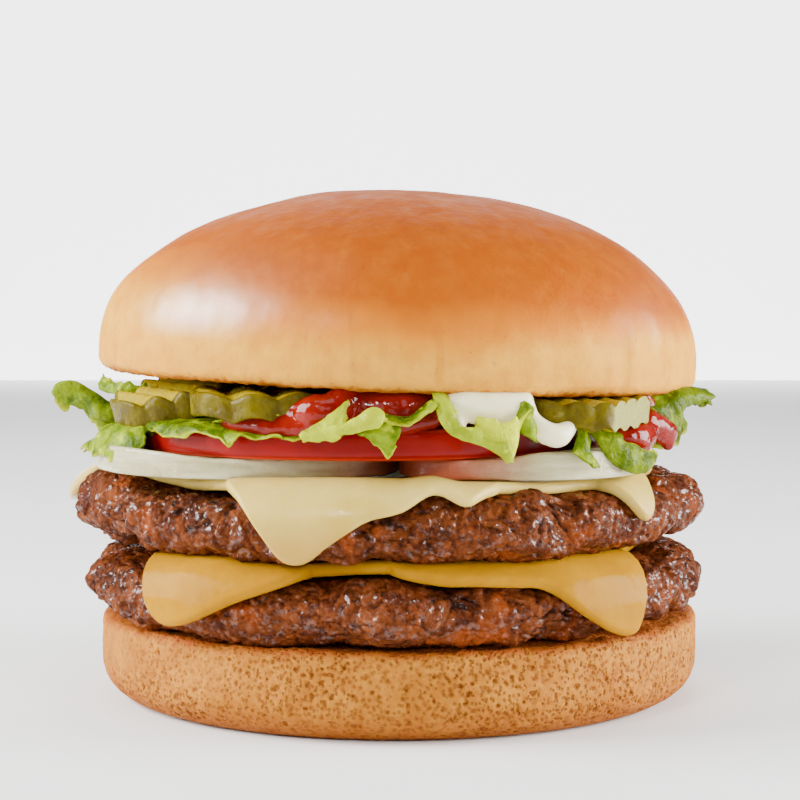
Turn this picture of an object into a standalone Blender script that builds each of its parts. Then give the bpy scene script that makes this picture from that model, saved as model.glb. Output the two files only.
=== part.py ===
"""A double cheeseburger, built as the stack of separate pieces that it is.

Run it with: blender --background --python part.py

All named sizes are in millimetres and are turned into metres where a mesh is made. The origin is the
centre of the flat foot of the bun heel, with +Z up. The front of the burger faces -Y. An azimuth is
in degrees round the burger's axis: 0 at the front, 90 on the right (+X), -90 on the left.
"""

import math

import bmesh
import bpy
from mathutils import Matrix, Vector, noise

MM = 0.001  # metres in a millimetre
GAP = 0.3  # air between pieces that touch

# Bun: a heel and a crown of one diameter
BUN_RADIUS = 52.3
HEEL_HEIGHT = 14.8
HEEL_FOOT_ROUND = 6.8
HEEL_RIM_ROUND = 1.4
CROWN_SEAT = 55.0  # height of the crown's underside at its centre
CROWN_HEIGHT = 33.3
CROWN_WAIST = 4.4  # height of the widest ring above the underside
CROWN_EDGE_ROUND = 2.4
CROWN_ROLL = 2.3  # degrees that the crown leans down to the right
DOME_POWER = 2.15

# Patties
PATTY_ROUND = 5.5  # rounding of a patty's rim, seen from the side
LOWER_PATTY = {"centre": (-0.8, 0.0), "radius": 53.2, "low": HEEL_HEIGHT + GAP, "top": 25.5, "lip": 25.3, "seed": 3.0}
UPPER_PATTY = {"centre": (-1.4, 0.0), "radius": 53.6, "low": 28.9, "top": 37.3, "lip": 37.9, "seed": 11.0}
FRONT_LIP = 1.0  # how much higher the upper patty's rim stands at the front
LOBE = 1.5  # unevenness of a patty's outline
CRAG = 1.7  # depth of the crags in a patty's side

# Cheese slices, each a square sheet that has melted over the patty below it; a higher "corner" is squarer
YELLOW_CHEESE = {"half": 50.5, "thick": 2.2, "turn": 0.0, "corner": 6.0}
WHITE_CHEESE = {"half": 47.5, "thick": 1.6, "turn": 28.0, "corner": 9.0}
CHEESE_RINGS = (0.0, 0.5, 0.66, 0.72, 0.77, 0.82, 0.87, 0.93, 1.0)  # rings of the sheet, as shares of its reach

CHEESE_CLEARANCE = 0.55  # further lift off the patty, for the flat facets between the points

# Onion and tomato slices
ONION_THICK = 3.1
ONION_SEAT = 40.9
ONIONS = {
    "onion_left": {"centre": (-25.0, -18.5), "radius": 25.4},
    "onion_right": {"centre": (20.5, -26.5), "radius": 19.6},
    "onion_back": {"centre": (5.0, 24.5), "radius": 25.4},
}
TOMATO = {"centre": (-4.5, -8.0), "radius": 39.6, "low": 44.3, "thick": 4.7}

# Crinkle-cut pickle slices: centre, radius, height of the mid plane, thickness, outward tilt in degrees
PICKLE_WAVE = 7.4
PICKLE_WAVE_HEIGHT = 0.5
PICKLES = {
    "pickle_left": {"centre": (-36.5, -19.5), "radius": 11.3, "mid": 52.2, "thick": 3.8, "tilt": 1.0, "ridges": 60.0},
    "pickle_front": {"centre": (-20.4, -35.8), "radius": 11.3, "mid": 52.9, "thick": 3.4, "tilt": 0.0, "ridges": 8.0},
    "pickle_right": {"centre": (28.4, -33.0), "radius": 11.6, "mid": 51.1, "thick": 2.8, "tilt": 3.0, "ridges": -25.0},
    "pickle_back_left": {"centre": (-22.0, 31.0), "radius": 12.3, "mid": 52.4, "thick": 3.4, "tilt": 1.0, "ridges": 30.0},
    "pickle_back_right": {"centre": (25.0, 29.0), "radius": 12.3, "mid": 51.3, "thick": 2.6, "tilt": 2.5, "ridges": -40.0},
}

# Lettuce: each leaf is a ribbon through a few stations of (azimuth, radius, height), with the ribbon's
# half width across it given as (along the rim, outwards, up)
LEAF_THICK = 0.6
LEAF_RUFFLE = 0.7
LEAVES = {
    "lettuce_left_tip": [
        ((-77, 50.4, 49.4), (-1.5, 0.0, 1.7)),
        ((-79, 53.0, 50.7), (-1.5, 0.0, 2.7)),
        ((-82, 57.0, 52.5), (-1.0, 0.0, 2.6)),
        ((-86, 62.0, 54.8), (-0.5, 0.0, 2.0)),
    ],
    "lettuce_left_flap": [
        ((-80, 48.6, 54.9), (0.0, 0.0, 0.7)),
        ((-73, 52.4, 54.5), (0.0, 0.2, 1.3)),
        ((-67, 54.0, 53.0), (0.0, 0.3, 1.2)),
    ],
    "lettuce_left_curl": [
        ((-81, 53.2, 45.5), (0.0, 1.8, -0.7)),
        ((-73, 53.4, 45.4), (0.0, 2.8, -1.9)),
        ((-63, 53.0, 46.1), (0.0, 1.8, -1.2)),
    ],
    "lettuce_front_left": [
        ((-56, 50.6, 46.9), (0.0, 0.8, -1.2)),
        ((-46, 50.6, 47.3), (0.0, 0.9, -1.6)),
        ((-36, 50.6, 47.3), (0.0, 0.9, -1.6)),
        ((-27, 51.0, 46.7), (0.0, 0.9, -2.0)),
        ((-19, 51.0, 47.3), (0.0, 1.0, -0.8)),
    ],
    "lettuce_front": [
        ((-16, 51.8, 47.4), (0.0, 0.6, 1.0)),
        ((-10, 52.4, 48.8), (0.0, 0.4, 1.6)),
        ((-5, 52.8, 49.9), (0.0, 0.2, 2.6)),
        ((-1, 52.4, 50.7), (0.0, -0.2, 2.9)),
        ((3, 51.8, 49.1), (0.0, 0.2, 1.8)),
    ],
    "lettuce_front_right": [
        ((5, 53.4, 52.7), (0.0, 0.2, 1.0)),
        ((8, 54.0, 50.1), (0.0, 0.4, 2.8)),
        ((13, 54.4, 47.1), (0.0, 0.6, 2.4)),
        ((18, 54.2, 45.7), (0.0, 0.6, 2.8)),
        ((22, 53.6, 48.7), (0.0, 0.4, 2.0)),
    ],
    "lettuce_right_strip": [
        ((34, 54.0, 48.3), (0.6, 0.4, 1.4)),
        ((35, 54.4, 45.7), (1.0, 0.4, 0.9)),
        ((37, 54.4, 43.1), (1.2, 0.2, 0.4)),
    ],
    "lettuce_right_lobe": [
        ((39, 52.6, 48.1), (1.8, 0.0, 0.8)),
        ((43, 53.4, 45.5), (2.0, 0.0, 1.6)),
        ((49, 54.0, 43.3), (1.2, 0.0, 2.4)),
        ((54, 53.6, 43.1), (-0.6, 0.0, 2.0)),
    ],
    "lettuce_right_tip": [
        ((64, 50.0, 50.6), (1.5, 0.0, 0.9)),
        ((67, 54.5, 49.7), (2.0, 0.0, 2.2)),
        ((72, 57.5, 50.5), (1.0, 0.0, 2.0)),
        ((76, 60.5, 51.8), (0.4, 0.0, 0.8)),
    ],
    "lettuce_back_right": [
        ((104, 50.0, 47.1), (0.0, 1.6, -1.8)),
        ((118, 51.6, 47.9), (0.0, 2.2, -1.0)),
        ((132, 52.0, 46.4), (0.0, 1.6, -2.4)),
        ((145, 50.6, 47.5), (0.0, 2.0, -1.2)),
    ],
    "lettuce_back": [
        ((160, 50.6, 48.1), (0.0, 1.6, -1.6)),
        ((172, 52.6, 47.1), (0.0, 2.6, -1.6)),
        ((184, 52.0, 48.5), (0.0, 1.8, -2.2)),
        ((196, 50.6, 47.9), (0.0, 2.2, -1.2)),
    ],
    "lettuce_back_left": [
        ((-146, 50.6, 47.7), (0.0, 1.8, -1.6)),
        ((-132, 53.0, 46.9), (0.0, 2.8, -1.2)),
        ((-118, 52.4, 48.3), (0.0, 1.8, -2.2)),
        ((-104, 51.0, 47.7), (0.0, 2.0, -1.2)),
    ],
}

# Sauces: a run of azimuths, a range of radii, and floor and ceiling heights at the two ends of the run
SAUCES = {
    "ketchup_front": {"run": (-33, 3), "reach": (36.0, 50.0),
        "floor": (49.7, 49.7), "ceiling": (53.5, 54.3), "drip": 0.9, "pressed_by": ("pickle_front",)},
    "ketchup_right": {"run": (40, 64), "reach": (38.0, 53.2),
        "floor": (49.4, 47.4), "ceiling": (52.5, 52.5), "drip": 1.2, "pressed_by": ("pickle_right",)},
    "ketchup_back": {"run": (176, 204), "reach": (34.0, 48.0),
        "floor": (49.7, 49.7), "ceiling": (54.1, 54.3), "drip": 0.8, "pressed_by": ("pickle_back_left",)},
    "mayonnaise_front": {"run": (7, 31), "reach": (34.0, 52.0),
        "floor": (49.9, 49.9), "ceiling": (54.2, 53.3), "drip": 2.4, "pressed_by": ("pickle_right",)},
    "mayonnaise_back": {"run": (146, 172), "reach": (30.0, 48.5),
        "floor": (49.7, 49.7), "ceiling": (52.9, 53.5), "drip": 1.2, "pressed_by": ("pickle_back_right",)},
}
SAUCE_FULLNESS = 0.75  # below 1 makes a dollop boxier than a ball
PICKLE_BULGE = 0.7  # how far the ripples push a pickle slice's rim out past its radius
SAUCE_CLEARANCE = 0.45  # air between a sauce and a pickle slice pressed into it

# Mesh detail of the plain solids
TURN_STEPS = 40
PATTY_STEPS = 60
CHEESE_STEPS = 48
ONION_STEPS = 28
LEAF_LENGTH_CELLS = 10
LEAF_WIDTH_CELLS = 2

# Colours of the pieces: base colour, roughness
COLOURS = {
    "crust": ((0.62, 0.30, 0.10), 0.35),
    "crumb": ((0.66, 0.40, 0.17), 0.85),
    "beef": ((0.13, 0.05, 0.03), 0.45),
    "yellow_cheese": ((0.85, 0.48, 0.02), 0.35),
    "white_cheese": ((0.80, 0.68, 0.42), 0.40),
    "onion": ((0.78, 0.77, 0.68), 0.25),
    "tomato": ((0.50, 0.03, 0.015), 0.20),
    "lettuce": ((0.35, 0.48, 0.04), 0.40),
    "pickle": ((0.30, 0.27, 0.04), 0.30),
    "ketchup": ((0.42, 0.02, 0.01), 0.15),
    "mayonnaise": ((0.80, 0.77, 0.66), 0.25),
}


def clear_scene():
    for obj in list(bpy.data.objects):
        bpy.data.objects.remove(obj)


def new_collection(name):
    collection = bpy.data.collections.new(name)
    bpy.context.scene.collection.children.link(collection)
    return collection


def material(name):
    colour, roughness = COLOURS[name]
    made = bpy.data.materials.get(name) or bpy.data.materials.new(name)
    made.use_nodes = True
    shader = made.node_tree.nodes["Principled BSDF"]
    shader.inputs["Base Color"].default_value = (*colour, 1.0)
    shader.inputs["Roughness"].default_value = roughness
    shader.inputs["Metallic"].default_value = 0.0
    return made


def polar(azimuth, radius, height):
    """The point at an azimuth in degrees, a radius and a height."""
    angle = math.radians(azimuth)
    return Vector((radius * math.sin(angle), -radius * math.cos(angle), height))


def azimuth_of(x, y):
    return math.degrees(math.atan2(x, -y))


def smooth(t):
    """A soft step from 0 to 1 as t goes from 0 to 1."""
    t = min(1.0, max(0.0, t))
    return t * t * (3.0 - 2.0 * t)


def bump(azimuth, middle, half_width):
    """A smooth hump of height 1 round an azimuth."""
    off = abs((azimuth - middle + 180.0) % 360.0 - 180.0)
    return smooth(1.0 - off / half_width)


def finish(obj, group, colour):
    """Puts an object in the burger's collection with its material, smooth except at sharp edges."""
    group.objects.link(obj)
    obj.data.materials.clear()
    obj.data.materials.append(material(colour))
    obj.data.shade_smooth()
    obj.data.set_sharp_from_angle(angle=math.radians(50))
    return obj


def turned(name, profile, steps):
    """A solid turned round the axis from a profile of (radius, height), run from the top down its outer side."""
    line = bpy.data.meshes.new(name + "_profile")
    points = [(radius * MM, 0.0, height * MM) for radius, height in profile]
    line.from_pydata(points, [(i, i + 1) for i in range(len(points) - 1)], [])
    guide = bpy.data.objects.new(name + "_guide", line)
    bpy.context.scene.collection.objects.link(guide)
    screw = guide.modifiers.new("Turn", "SCREW")
    screw.steps = steps
    screw.render_steps = steps
    screw.use_merge_vertices = True
    screw.merge_threshold = 0.00001
    bpy.context.view_layer.update()
    graph = bpy.context.evaluated_depsgraph_get()
    mesh = bpy.data.meshes.new_from_object(guide.evaluated_get(graph))
    bpy.data.objects.remove(guide)
    mesh.name = name
    return bpy.data.objects.new(name, mesh)


def reshape(obj, move):
    """Moves each vertex by a function of its place, in millimetres."""
    for vertex in obj.data.vertices:
        vertex.co = move(vertex.co / MM) * MM


def arc(centre, radii, start, end, count):
    """Points of an elliptic arc in a profile, angles in degrees from the outward direction."""
    angles = [math.radians(start + (end - start) * i / count) for i in range(count + 1)]
    return [(centre[0] + radii[0] * math.cos(a), centre[1] + radii[1] * math.sin(a)) for a in angles]


def sheet(name, place, cells, thickness):
    """A thin solid: a grid whose points, from -1 to 1 each way, are placed by a function, made thick."""
    grid = bmesh.new()
    bmesh.ops.create_grid(grid, x_segments=cells[0], y_segments=cells[1], size=1.0)
    for vertex in grid.verts:
        vertex.co = place(vertex.co.x, vertex.co.y) * MM
    bmesh.ops.triangulate(grid, faces=grid.faces)
    mesh = bpy.data.meshes.new(name)
    grid.to_mesh(mesh)
    grid.free()
    obj = bpy.data.objects.new(name, mesh)
    thicken(obj, thickness)
    return obj


def thicken(obj, thickness):
    """Gives a sheet its thickness, half to each side."""
    solidify = obj.modifiers.new("Thickness", "SOLIDIFY")
    solidify.thickness = thickness * MM
    solidify.offset = 0.0


def bun_outline(azimuth, seed):
    """How far the bun's side stands out of true round."""
    spot = polar(azimuth, 1.3, seed)
    return 0.35 * noise.noise(spot)


def heel(group):
    """The bottom bun: a low disc with a rounded foot and a flat, cut top."""
    foot = BUN_RADIUS - HEEL_FOOT_ROUND
    profile = [(0.0, HEEL_HEIGHT), (BUN_RADIUS - 9.0, HEEL_HEIGHT)]
    rim_centre = (BUN_RADIUS - HEEL_RIM_ROUND, HEEL_HEIGHT - HEEL_RIM_ROUND)
    profile += arc(rim_centre, (HEEL_RIM_ROUND, HEEL_RIM_ROUND), 90, 0, 2)
    profile += arc((foot, HEEL_FOOT_ROUND), (HEEL_FOOT_ROUND, HEEL_FOOT_ROUND), 0, -90, 4)
    profile += [(0.0, 0.0)]
    obj = turned("bun_heel", profile, TURN_STEPS)

    def move(point):
        swell = 1.0 + bun_outline(azimuth_of(point.x, point.y), 4.0) / BUN_RADIUS
        return Vector((point.x * swell, point.y * swell, point.z))

    reshape(obj, move)
    finish(obj, group, "crumb")


def crown_frame():
    """Where the crown sits: lifted to its seat and leaning down to the right."""
    return Matrix.Translation((0.0, 0.0, CROWN_SEAT * MM)) @ Matrix.Rotation(math.radians(CROWN_ROLL), 4, "Y")


def crown(group):
    """The top bun: a dome over a flat underside with a rounded edge."""
    dome = CROWN_HEIGHT - CROWN_WAIST
    rings = 9
    profile = []
    for i in range(rings):
        angle = math.pi / 2.0 * i / rings
        radius = BUN_RADIUS * math.sin(angle) ** (2.0 / DOME_POWER)
        profile.append((radius, CROWN_WAIST + dome * math.cos(angle) ** (2.0 / DOME_POWER)))
    profile.append((BUN_RADIUS, CROWN_WAIST))
    edge = (BUN_RADIUS - CROWN_EDGE_ROUND, CROWN_EDGE_ROUND)
    profile += arc(edge, (CROWN_EDGE_ROUND, CROWN_EDGE_ROUND), -15, -90, 3)
    profile += [(BUN_RADIUS * 0.5, 0.0), (0.0, 0.0)]
    obj = turned("bun_crown", profile, TURN_STEPS)

    def move(point):
        swell = 1.0 + bun_outline(azimuth_of(point.x, point.y), 9.0) / BUN_RADIUS
        return Vector((point.x * swell, point.y * swell, point.z))

    reshape(obj, move)
    obj.matrix_world = crown_frame()
    finish(obj, group, "crust")


def patty_outline(patty, azimuth):
    """Radius of a patty's outer side before its crags."""
    return patty["radius"] + LOBE * noise.noise(polar(azimuth, 1.9, patty["seed"]))


def lip_height(patty, azimuth):
    """Height of a patty's rim; the upper patty's front rim stands higher."""
    raised = FRONT_LIP * bump(azimuth, -8.0, 42.0) if patty is UPPER_PATTY else 0.0
    return patty["lip"] + raised


def patty(group, name, size):
    """A patty: flat where it is hidden, lumpy and cragged round its side."""
    radius, low, top = size["radius"], size["low"], size["top"]
    half = (size["lip"] - low) / 2.0
    side = arc((radius - PATTY_ROUND, low + half), (PATTY_ROUND, half), 90, -90, 9)
    profile = [(0.0, top), (radius - 16.0, top)] + side + [(radius - 14.0, low), (0.0, low)]
    obj = turned(name, profile, PATTY_STEPS)

    def move(point):
        azimuth = azimuth_of(point.x, point.y)
        reach = math.hypot(point.x, point.y)
        share = smooth((reach - radius + 15.0) / 9.0)
        high = smooth((point.z - low - half) / half) * share
        outer = patty_outline(size, azimuth) - radius
        coarse = 0.5 + 0.5 * noise.noise(point / 9.0 + Vector((0.0, 0.0, size["seed"])))
        fine = abs(noise.noise(point / 4.0 + Vector((size["seed"], 0.0, 0.0))))
        crag = CRAG * (0.7 * coarse + 0.5 * fine) * smooth((reach - radius + 6.0) / 5.0)
        drawn = (reach + outer * share - crag) / max(reach, 0.001)
        height = point.z + high * (lip_height(size, azimuth) - size["lip"])
        return Vector((point.x * drawn + size["centre"][0], point.y * drawn + size["centre"][1], height))

    reshape(obj, move)
    finish(obj, group, "beef")


def path_over(size, azimuth, lift):
    """The line that a slice follows from the middle of a patty, over its rim and down its side."""
    outer = patty_outline(size, azimuth)
    lip = lip_height(size, azimuth)
    bend = PATTY_ROUND * 0.9
    line = [(0.0, size["top"] + lift), (outer - 16.0, size["top"] + lift)]
    line += arc((outer - bend, lip - bend), (bend + lift, bend + lift), 90, 0, 8)
    line += [(outer + lift, lip - bend - 20.0)]
    return line


def walk(line, distance):
    """The point at a distance along a line of (radius, height) points."""
    for (r0, z0), (r1, z1) in zip(line, line[1:]):
        step = math.hypot(r1 - r0, z1 - z0)
        if distance <= step:
            return r0 + (r1 - r0) * distance / step, z0 + (z1 - z0) * distance / step
        distance -= step
    return line[-1]


def square_reach(slice_size, azimuth):
    """Distance from a square slice's centre to its rounded outline."""
    angle = math.radians(azimuth - slice_size["turn"])
    power = slice_size["corner"]
    return slice_size["half"] / (abs(math.cos(angle)) ** power + abs(math.sin(angle)) ** power) ** (1.0 / power)


def cheese_slice(group, name, slice_size, below, colour):
    """A square slice laid on a patty, its corners hanging down the side."""
    lift = GAP + CHEESE_CLEARANCE + slice_size["thick"] / 2.0
    obj = turned(name, [(ring, 0.0) for ring in CHEESE_RINGS], CHEESE_STEPS)
    for vertex in obj.data.vertices:
        azimuth = azimuth_of(vertex.co.x, vertex.co.y) + slice_size["turn"]
        share = math.hypot(vertex.co.x, vertex.co.y) / MM
        radius, height = walk(path_over(below, azimuth, lift), share * square_reach(slice_size, azimuth))
        vertex.co = (polar(azimuth, radius, height) + Vector((*below["centre"], 0.0))) * MM
    thicken(obj, slice_size["thick"])
    finish(obj, group, colour)


def onion_slice(group, name, size):
    """A slice of onion with a slightly barrelled side."""
    radius, low, high = size["radius"], ONION_SEAT, ONION_SEAT + ONION_THICK
    middle = (low + high) / 2.0
    profile = [(0.0, high), (radius - 0.9, high), (radius - 0.1, high - 1.0), (radius, middle)]
    profile += [(radius - 0.3, low + 0.8), (radius - 1.1, low), (0.0, low)]
    obj = turned(name, profile, ONION_STEPS)
    reshape(obj, lambda point: point + Vector((*size["centre"], 0.0)))
    finish(obj, group, "onion")


def tomato_slice(group):
    """A slice of tomato with its skin round the side."""
    radius, thick = TOMATO["radius"], TOMATO["thick"]
    half = thick / 2.0
    side = arc((radius - 1.2, 0.0), (1.2, half), 90, -90, 4)
    obj = turned("tomato", [(0.0, half)] + side + [(0.0, -half)], TURN_STEPS)

    def move(point):
        swell = 1.0 + 0.012 * noise.noise(polar(azimuth_of(point.x, point.y), 1.4, 2.0))
        return Vector((point.x * swell, point.y * swell, point.z))

    reshape(obj, move)
    obj.matrix_world = Matrix.Translation(Vector((*TOMATO["centre"], TOMATO["low"] + half)) * MM)
    finish(obj, group, "tomato")


def pickle_frame(size):
    """Where a pickle slice lies: its place and its outward lean."""
    outward = math.radians(azimuth_of(*size["centre"]))
    lean = Matrix.Rotation(math.radians(size["tilt"]), 4, Vector((math.cos(outward), math.sin(outward), 0.0)))
    return Matrix.Translation(Vector((*size["centre"], size["mid"])) * MM) @ lean


def pickle_slice(group, name, size):
    """A crinkle-cut slice: a round chip whose two faces ripple together."""
    radius = size["radius"]

    def place(u, v):
        across = math.sin(u * math.pi / 2.0 * 0.96)
        along = v * math.sqrt(1.0 - across * across)
        ripple = PICKLE_WAVE_HEIGHT * math.cos(2.0 * math.pi * across * radius / PICKLE_WAVE)
        return Vector((across * radius, along * radius, ripple))

    obj = sheet(name, place, (18, 2), size["thick"])
    obj.matrix_world = pickle_frame(size) @ Matrix.Rotation(math.radians(size["ridges"]), 4, "Z")
    finish(obj, group, "pickle")


def pickle_cutter(cutters, name, size):
    """A disc a little larger than a pickle slice, to press its shape into a sauce."""
    radius = size["radius"] + PICKLE_BULGE + SAUCE_CLEARANCE
    half = size["thick"] / 2.0 + PICKLE_WAVE_HEIGHT + SAUCE_CLEARANCE
    obj = turned(name + "_cutter", [(0.0, half), (radius, half), (radius, -half), (0.0, -half)], ONION_STEPS)
    obj.matrix_world = pickle_frame(size)
    obj.hide_render = True
    obj.display_type = "WIRE"
    cutters.objects.link(obj)


def along_stations(stations, t):
    """Centre and half width of a leaf at t from 0 to 1, on a smooth curve through its stations."""
    last = len(stations) - 1
    spot = min(max(t * last, 0.0), last - 1e-6)
    index, f = int(spot), spot - int(spot)
    rows = [stations[min(max(index + k, 0), last)] for k in (-1, 0, 1, 2)]
    weights = (
        (-f + 2 * f**2 - f**3) / 2.0,
        (2 - 5 * f**2 + 3 * f**3) / 2.0,
        (f + 4 * f**2 - 3 * f**3) / 2.0,
        (-(f**2) + f**3) / 2.0,
    )
    centre = [sum(w * row[0][k] for w, row in zip(weights, rows)) for k in range(3)]
    across = [sum(w * row[1][k] for w, row in zip(weights, rows)) for k in range(3)]
    return centre, across


def leaf(group, name, stations, seed):
    """A lettuce leaf: a ribbon through its stations, ruffled more towards its edges."""

    def place(u, v):
        (azimuth, radius, height), (rim, out, up) = along_stations(stations, (u + 1.0) / 2.0)
        wave = LEAF_RUFFLE * noise.noise(Vector((u * 2.6, v * 1.2, seed)))
        taper = 1.0 - 0.35 * u**6
        edge = v * taper
        degrees = math.degrees(rim * edge / radius)
        return polar(azimuth + degrees, radius + out * edge + wave * abs(v), height + up * edge)

    obj = sheet(name, place, (LEAF_LENGTH_CELLS, LEAF_WIDTH_CELLS), LEAF_THICK)
    finish(obj, group, "lettuce")


def sauce(group, name, size):
    """A dollop of sauce pressed between the layers, with a drip over the edge in front."""
    ball = bmesh.new()
    bmesh.ops.create_uvsphere(ball, u_segments=16, v_segments=8, radius=1.0)
    start, end = size["run"]
    inner, outer = size["reach"]
    for vertex in ball.verts:
        u, v, w = (math.copysign(abs(c) ** SAUCE_FULLNESS, c) for c in vertex.co)
        t = (u + 1.0) / 2.0
        floor = size["floor"][0] + (size["floor"][1] - size["floor"][0]) * t
        ceiling = size["ceiling"][0] + (size["ceiling"][1] - size["ceiling"][0]) * t
        azimuth = start + (end - start) * t
        radius = (inner + outer) / 2.0 - (outer - inner) / 2.0 * v
        height = (floor + ceiling) / 2.0 + (ceiling - floor) / 2.0 * w
        past = smooth((radius - outer + 3.0) / 2.5)
        height -= size["drip"] * past * (0.6 + 0.4 * noise.noise(Vector((azimuth / 6.0, 0.0, 7.0))))
        vertex.co = polar(azimuth, radius, height) * MM
    mesh = bpy.data.meshes.new(name)
    ball.to_mesh(mesh)
    ball.free()
    obj = bpy.data.objects.new(name, mesh)
    for pickle in size["pressed_by"]:
        cut = obj.modifiers.new("Press " + pickle, "BOOLEAN")
        cut.operation = "DIFFERENCE"
        cut.object = bpy.data.objects[pickle + "_cutter"]
    finish(obj, group, name.split("_")[0])


def main():
    clear_scene()
    group = new_collection("cheeseburger")
    cutters = new_collection("cutters")
    heel(group)
    patty(group, "patty_lower", LOWER_PATTY)
    cheese_slice(group, "cheese_yellow", YELLOW_CHEESE, LOWER_PATTY, "yellow_cheese")
    patty(group, "patty_upper", UPPER_PATTY)
    cheese_slice(group, "cheese_white", WHITE_CHEESE, UPPER_PATTY, "white_cheese")
    for name, size in ONIONS.items():
        onion_slice(group, name, size)
    tomato_slice(group)
    for seed, (name, stations) in enumerate(LEAVES.items()):
        leaf(group, name, stations, seed * 3.7)
    for name, size in PICKLES.items():
        pickle_slice(group, name, size)
        pickle_cutter(cutters, name, size)
    for name, size in SAUCES.items():
        sauce(group, name, size)
    crown(group)


main()
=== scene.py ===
"""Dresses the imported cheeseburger: the surface of every food piece, the floor, the lights and the camera.

Sizes are in millimetres until a mesh is made. The origin is the centre of the bun heel's foot, with +Z up
and the front towards -Y. An azimuth is in degrees round the burger: 0 at the front, 90 on the right.
"""

import math
from itertools import product

import bpy
import numpy as np
from mathutils import Matrix, Vector


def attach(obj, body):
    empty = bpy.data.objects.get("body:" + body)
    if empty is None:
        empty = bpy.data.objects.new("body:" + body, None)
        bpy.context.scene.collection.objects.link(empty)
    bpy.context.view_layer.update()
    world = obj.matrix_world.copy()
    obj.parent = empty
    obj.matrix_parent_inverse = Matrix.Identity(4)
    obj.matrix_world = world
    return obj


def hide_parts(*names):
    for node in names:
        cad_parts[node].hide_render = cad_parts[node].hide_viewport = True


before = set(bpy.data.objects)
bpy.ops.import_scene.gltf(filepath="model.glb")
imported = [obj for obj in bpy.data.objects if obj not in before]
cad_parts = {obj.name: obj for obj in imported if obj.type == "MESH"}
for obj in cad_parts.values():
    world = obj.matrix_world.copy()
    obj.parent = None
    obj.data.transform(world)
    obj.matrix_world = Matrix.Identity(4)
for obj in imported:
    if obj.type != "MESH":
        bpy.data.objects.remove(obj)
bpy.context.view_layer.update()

MM = 0.001

# How many steps a mesh takes round the axis
ROUND_STEPS = {
    "heel": 1100, "crown": 720, "patty": 1180, "cheese": 840, "onion": 360, "tomato": 400, "pickle": 360,
}

# Bun
BUN_RADIUS = 52.3
HEEL_HEIGHT = 14.8
HEEL_FOOT_ROUND = 6.8
HEEL_RIM_ROUND = 1.6
CROWN_SEAT = 55.0
CROWN_HEIGHT = 33.0
CROWN_WAIST = 4.4
CROWN_EDGE_ROUND = 2.4
CROWN_ROLL = 2.3
CROWN_SHIFT = -0.6
DOME_POWER = 2.15

# How the crown's baking, the painted light and shade on it, and its glossy patches vary round it:
# (azimuth, half width, millimetres or share)
# Painted light: paler on the lit left. Darker right and front: partly deeper baking, partly painted shade.
BAKED_SIDES = [(62.0, 50.0, 6.0), (-66.0, 48.0, -4.0)]
BAKED_FRONT = [(0.0, 56.0, 6.0)]
GLOSSY = [(-38.0, 34.0, 1.0), (62.0, 24.0, 0.35)]

# Patties
PATTY_ROUND = 5.5
PATTY_LOBE = 1.7
# raised: (azimuth, half width, height) of swells of the rim
# bulges: (azimuth, height, half width, how far out) of swells of the side
LOWER_PATTY = {
    "centre": (-0.8, 0.0), "radius": 53.4, "low": 15.0, "top": 25.5, "lip": 25.3, "seed": 3.0,
    "raised": [],
    "bulges": [(-76, 21.0, 13.0, 1.6), (-52, 18.0, 8.0, 0.6), (5, 21.0, 13.0, 0.8), (60, 21.0, 10.0, 0.5),
               (80, 21.5, 12.0, 1.6)],
}
UPPER_PATTY = {
    "centre": (-1.4, 0.0), "radius": 53.8, "low": 28.6, "top": 37.3, "lip": 38.2, "seed": 11.0,
    "raised": [(-8.0, 42.0, 1.1), (-64.0, 24.0, 1.3)],
    "bulges": [(-80, 35.0, 13.0, 1.9), (-62, 33.0, 9.0, 0.6), (-20, 33.0, 12.0, 0.7), (24, 34.0, 13.0, 0.9),
               (78, 34.5, 12.0, 1.4)],
}

# Cheese: edge is (azimuth, height) of the free edge
YELLOW_CHEESE = {
    "thick": 2.3,
    "edge": [
        (-180, 27.5), (-160, 25), (-146, 21), (-139, 17.5), (-133, 20), (-122, 25.5), (-112, 29), (-90, 30),
        (-55, 29.8), (-51.5, 28.6), (-49.2, 26.4), (-46.8, 22.6), (-44.8, 19.8), (-42.8, 18.7), (-41, 18.3),
        (-38.5, 18.6), (-35.5, 19.4), (-32.7, 20.3), (-26, 23), (-16, 26.3), (-8, 27.5), (-1, 27.3),
        (3, 26.4), (9, 25.5), (20, 25.7), (25, 25.3), (28.7, 23.6), (33.5, 20.2), (38, 17.7), (42, 16.6),
        (45, 16.7), (46.6, 18.2), (47.4, 21.4), (48.8, 26), (50.6, 28.6), (58, 29.8), (75, 30), (106, 29.4),
        (120, 26), (134, 21), (140, 17.6), (147, 19.5), (158, 24.5),
    ],
}
WHITE_CHEESE = {
    "thick": 2.0,
    "edge": [
        (-180, 39.5), (-160, 40), (-140, 40.5), (-115, 40.2), (-104, 37), (-96, 34.2), (-90, 33.8),
        (-84, 35.2), (-77, 39), (-72, 41.8), (-52, 42), (-42, 41), (-34, 40.4), (-29.5, 39.8),
        (-26.8, 39.2), (-24.6, 38.2), (-21.4, 35.1), (-19.3, 32.4), (-17.6, 30.2), (-16.6, 29.7),
        (-14.2, 29.6), (-12.7, 30), (-11.4, 31.4), (-8.8, 33.4), (-5.8, 35.4), (-3.4, 36.8), (0.2, 37.3),
        (3, 38.1), (5.5, 39), (8, 39.4), (12.6, 38.2), (16, 39.6), (20, 40.2), (28, 40.4), (41, 39.8),
        (44.6, 38.9), (45.9, 37.8), (46.9, 35.8), (48.6, 34), (50.2, 34.2), (52, 36), (54.6, 38.8),
        (57.5, 40.4), (65, 41.2), (100, 41), (125, 39.5), (140, 34.5), (147, 31.5), (154, 33.5), (166, 38),
    ],
}

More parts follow.
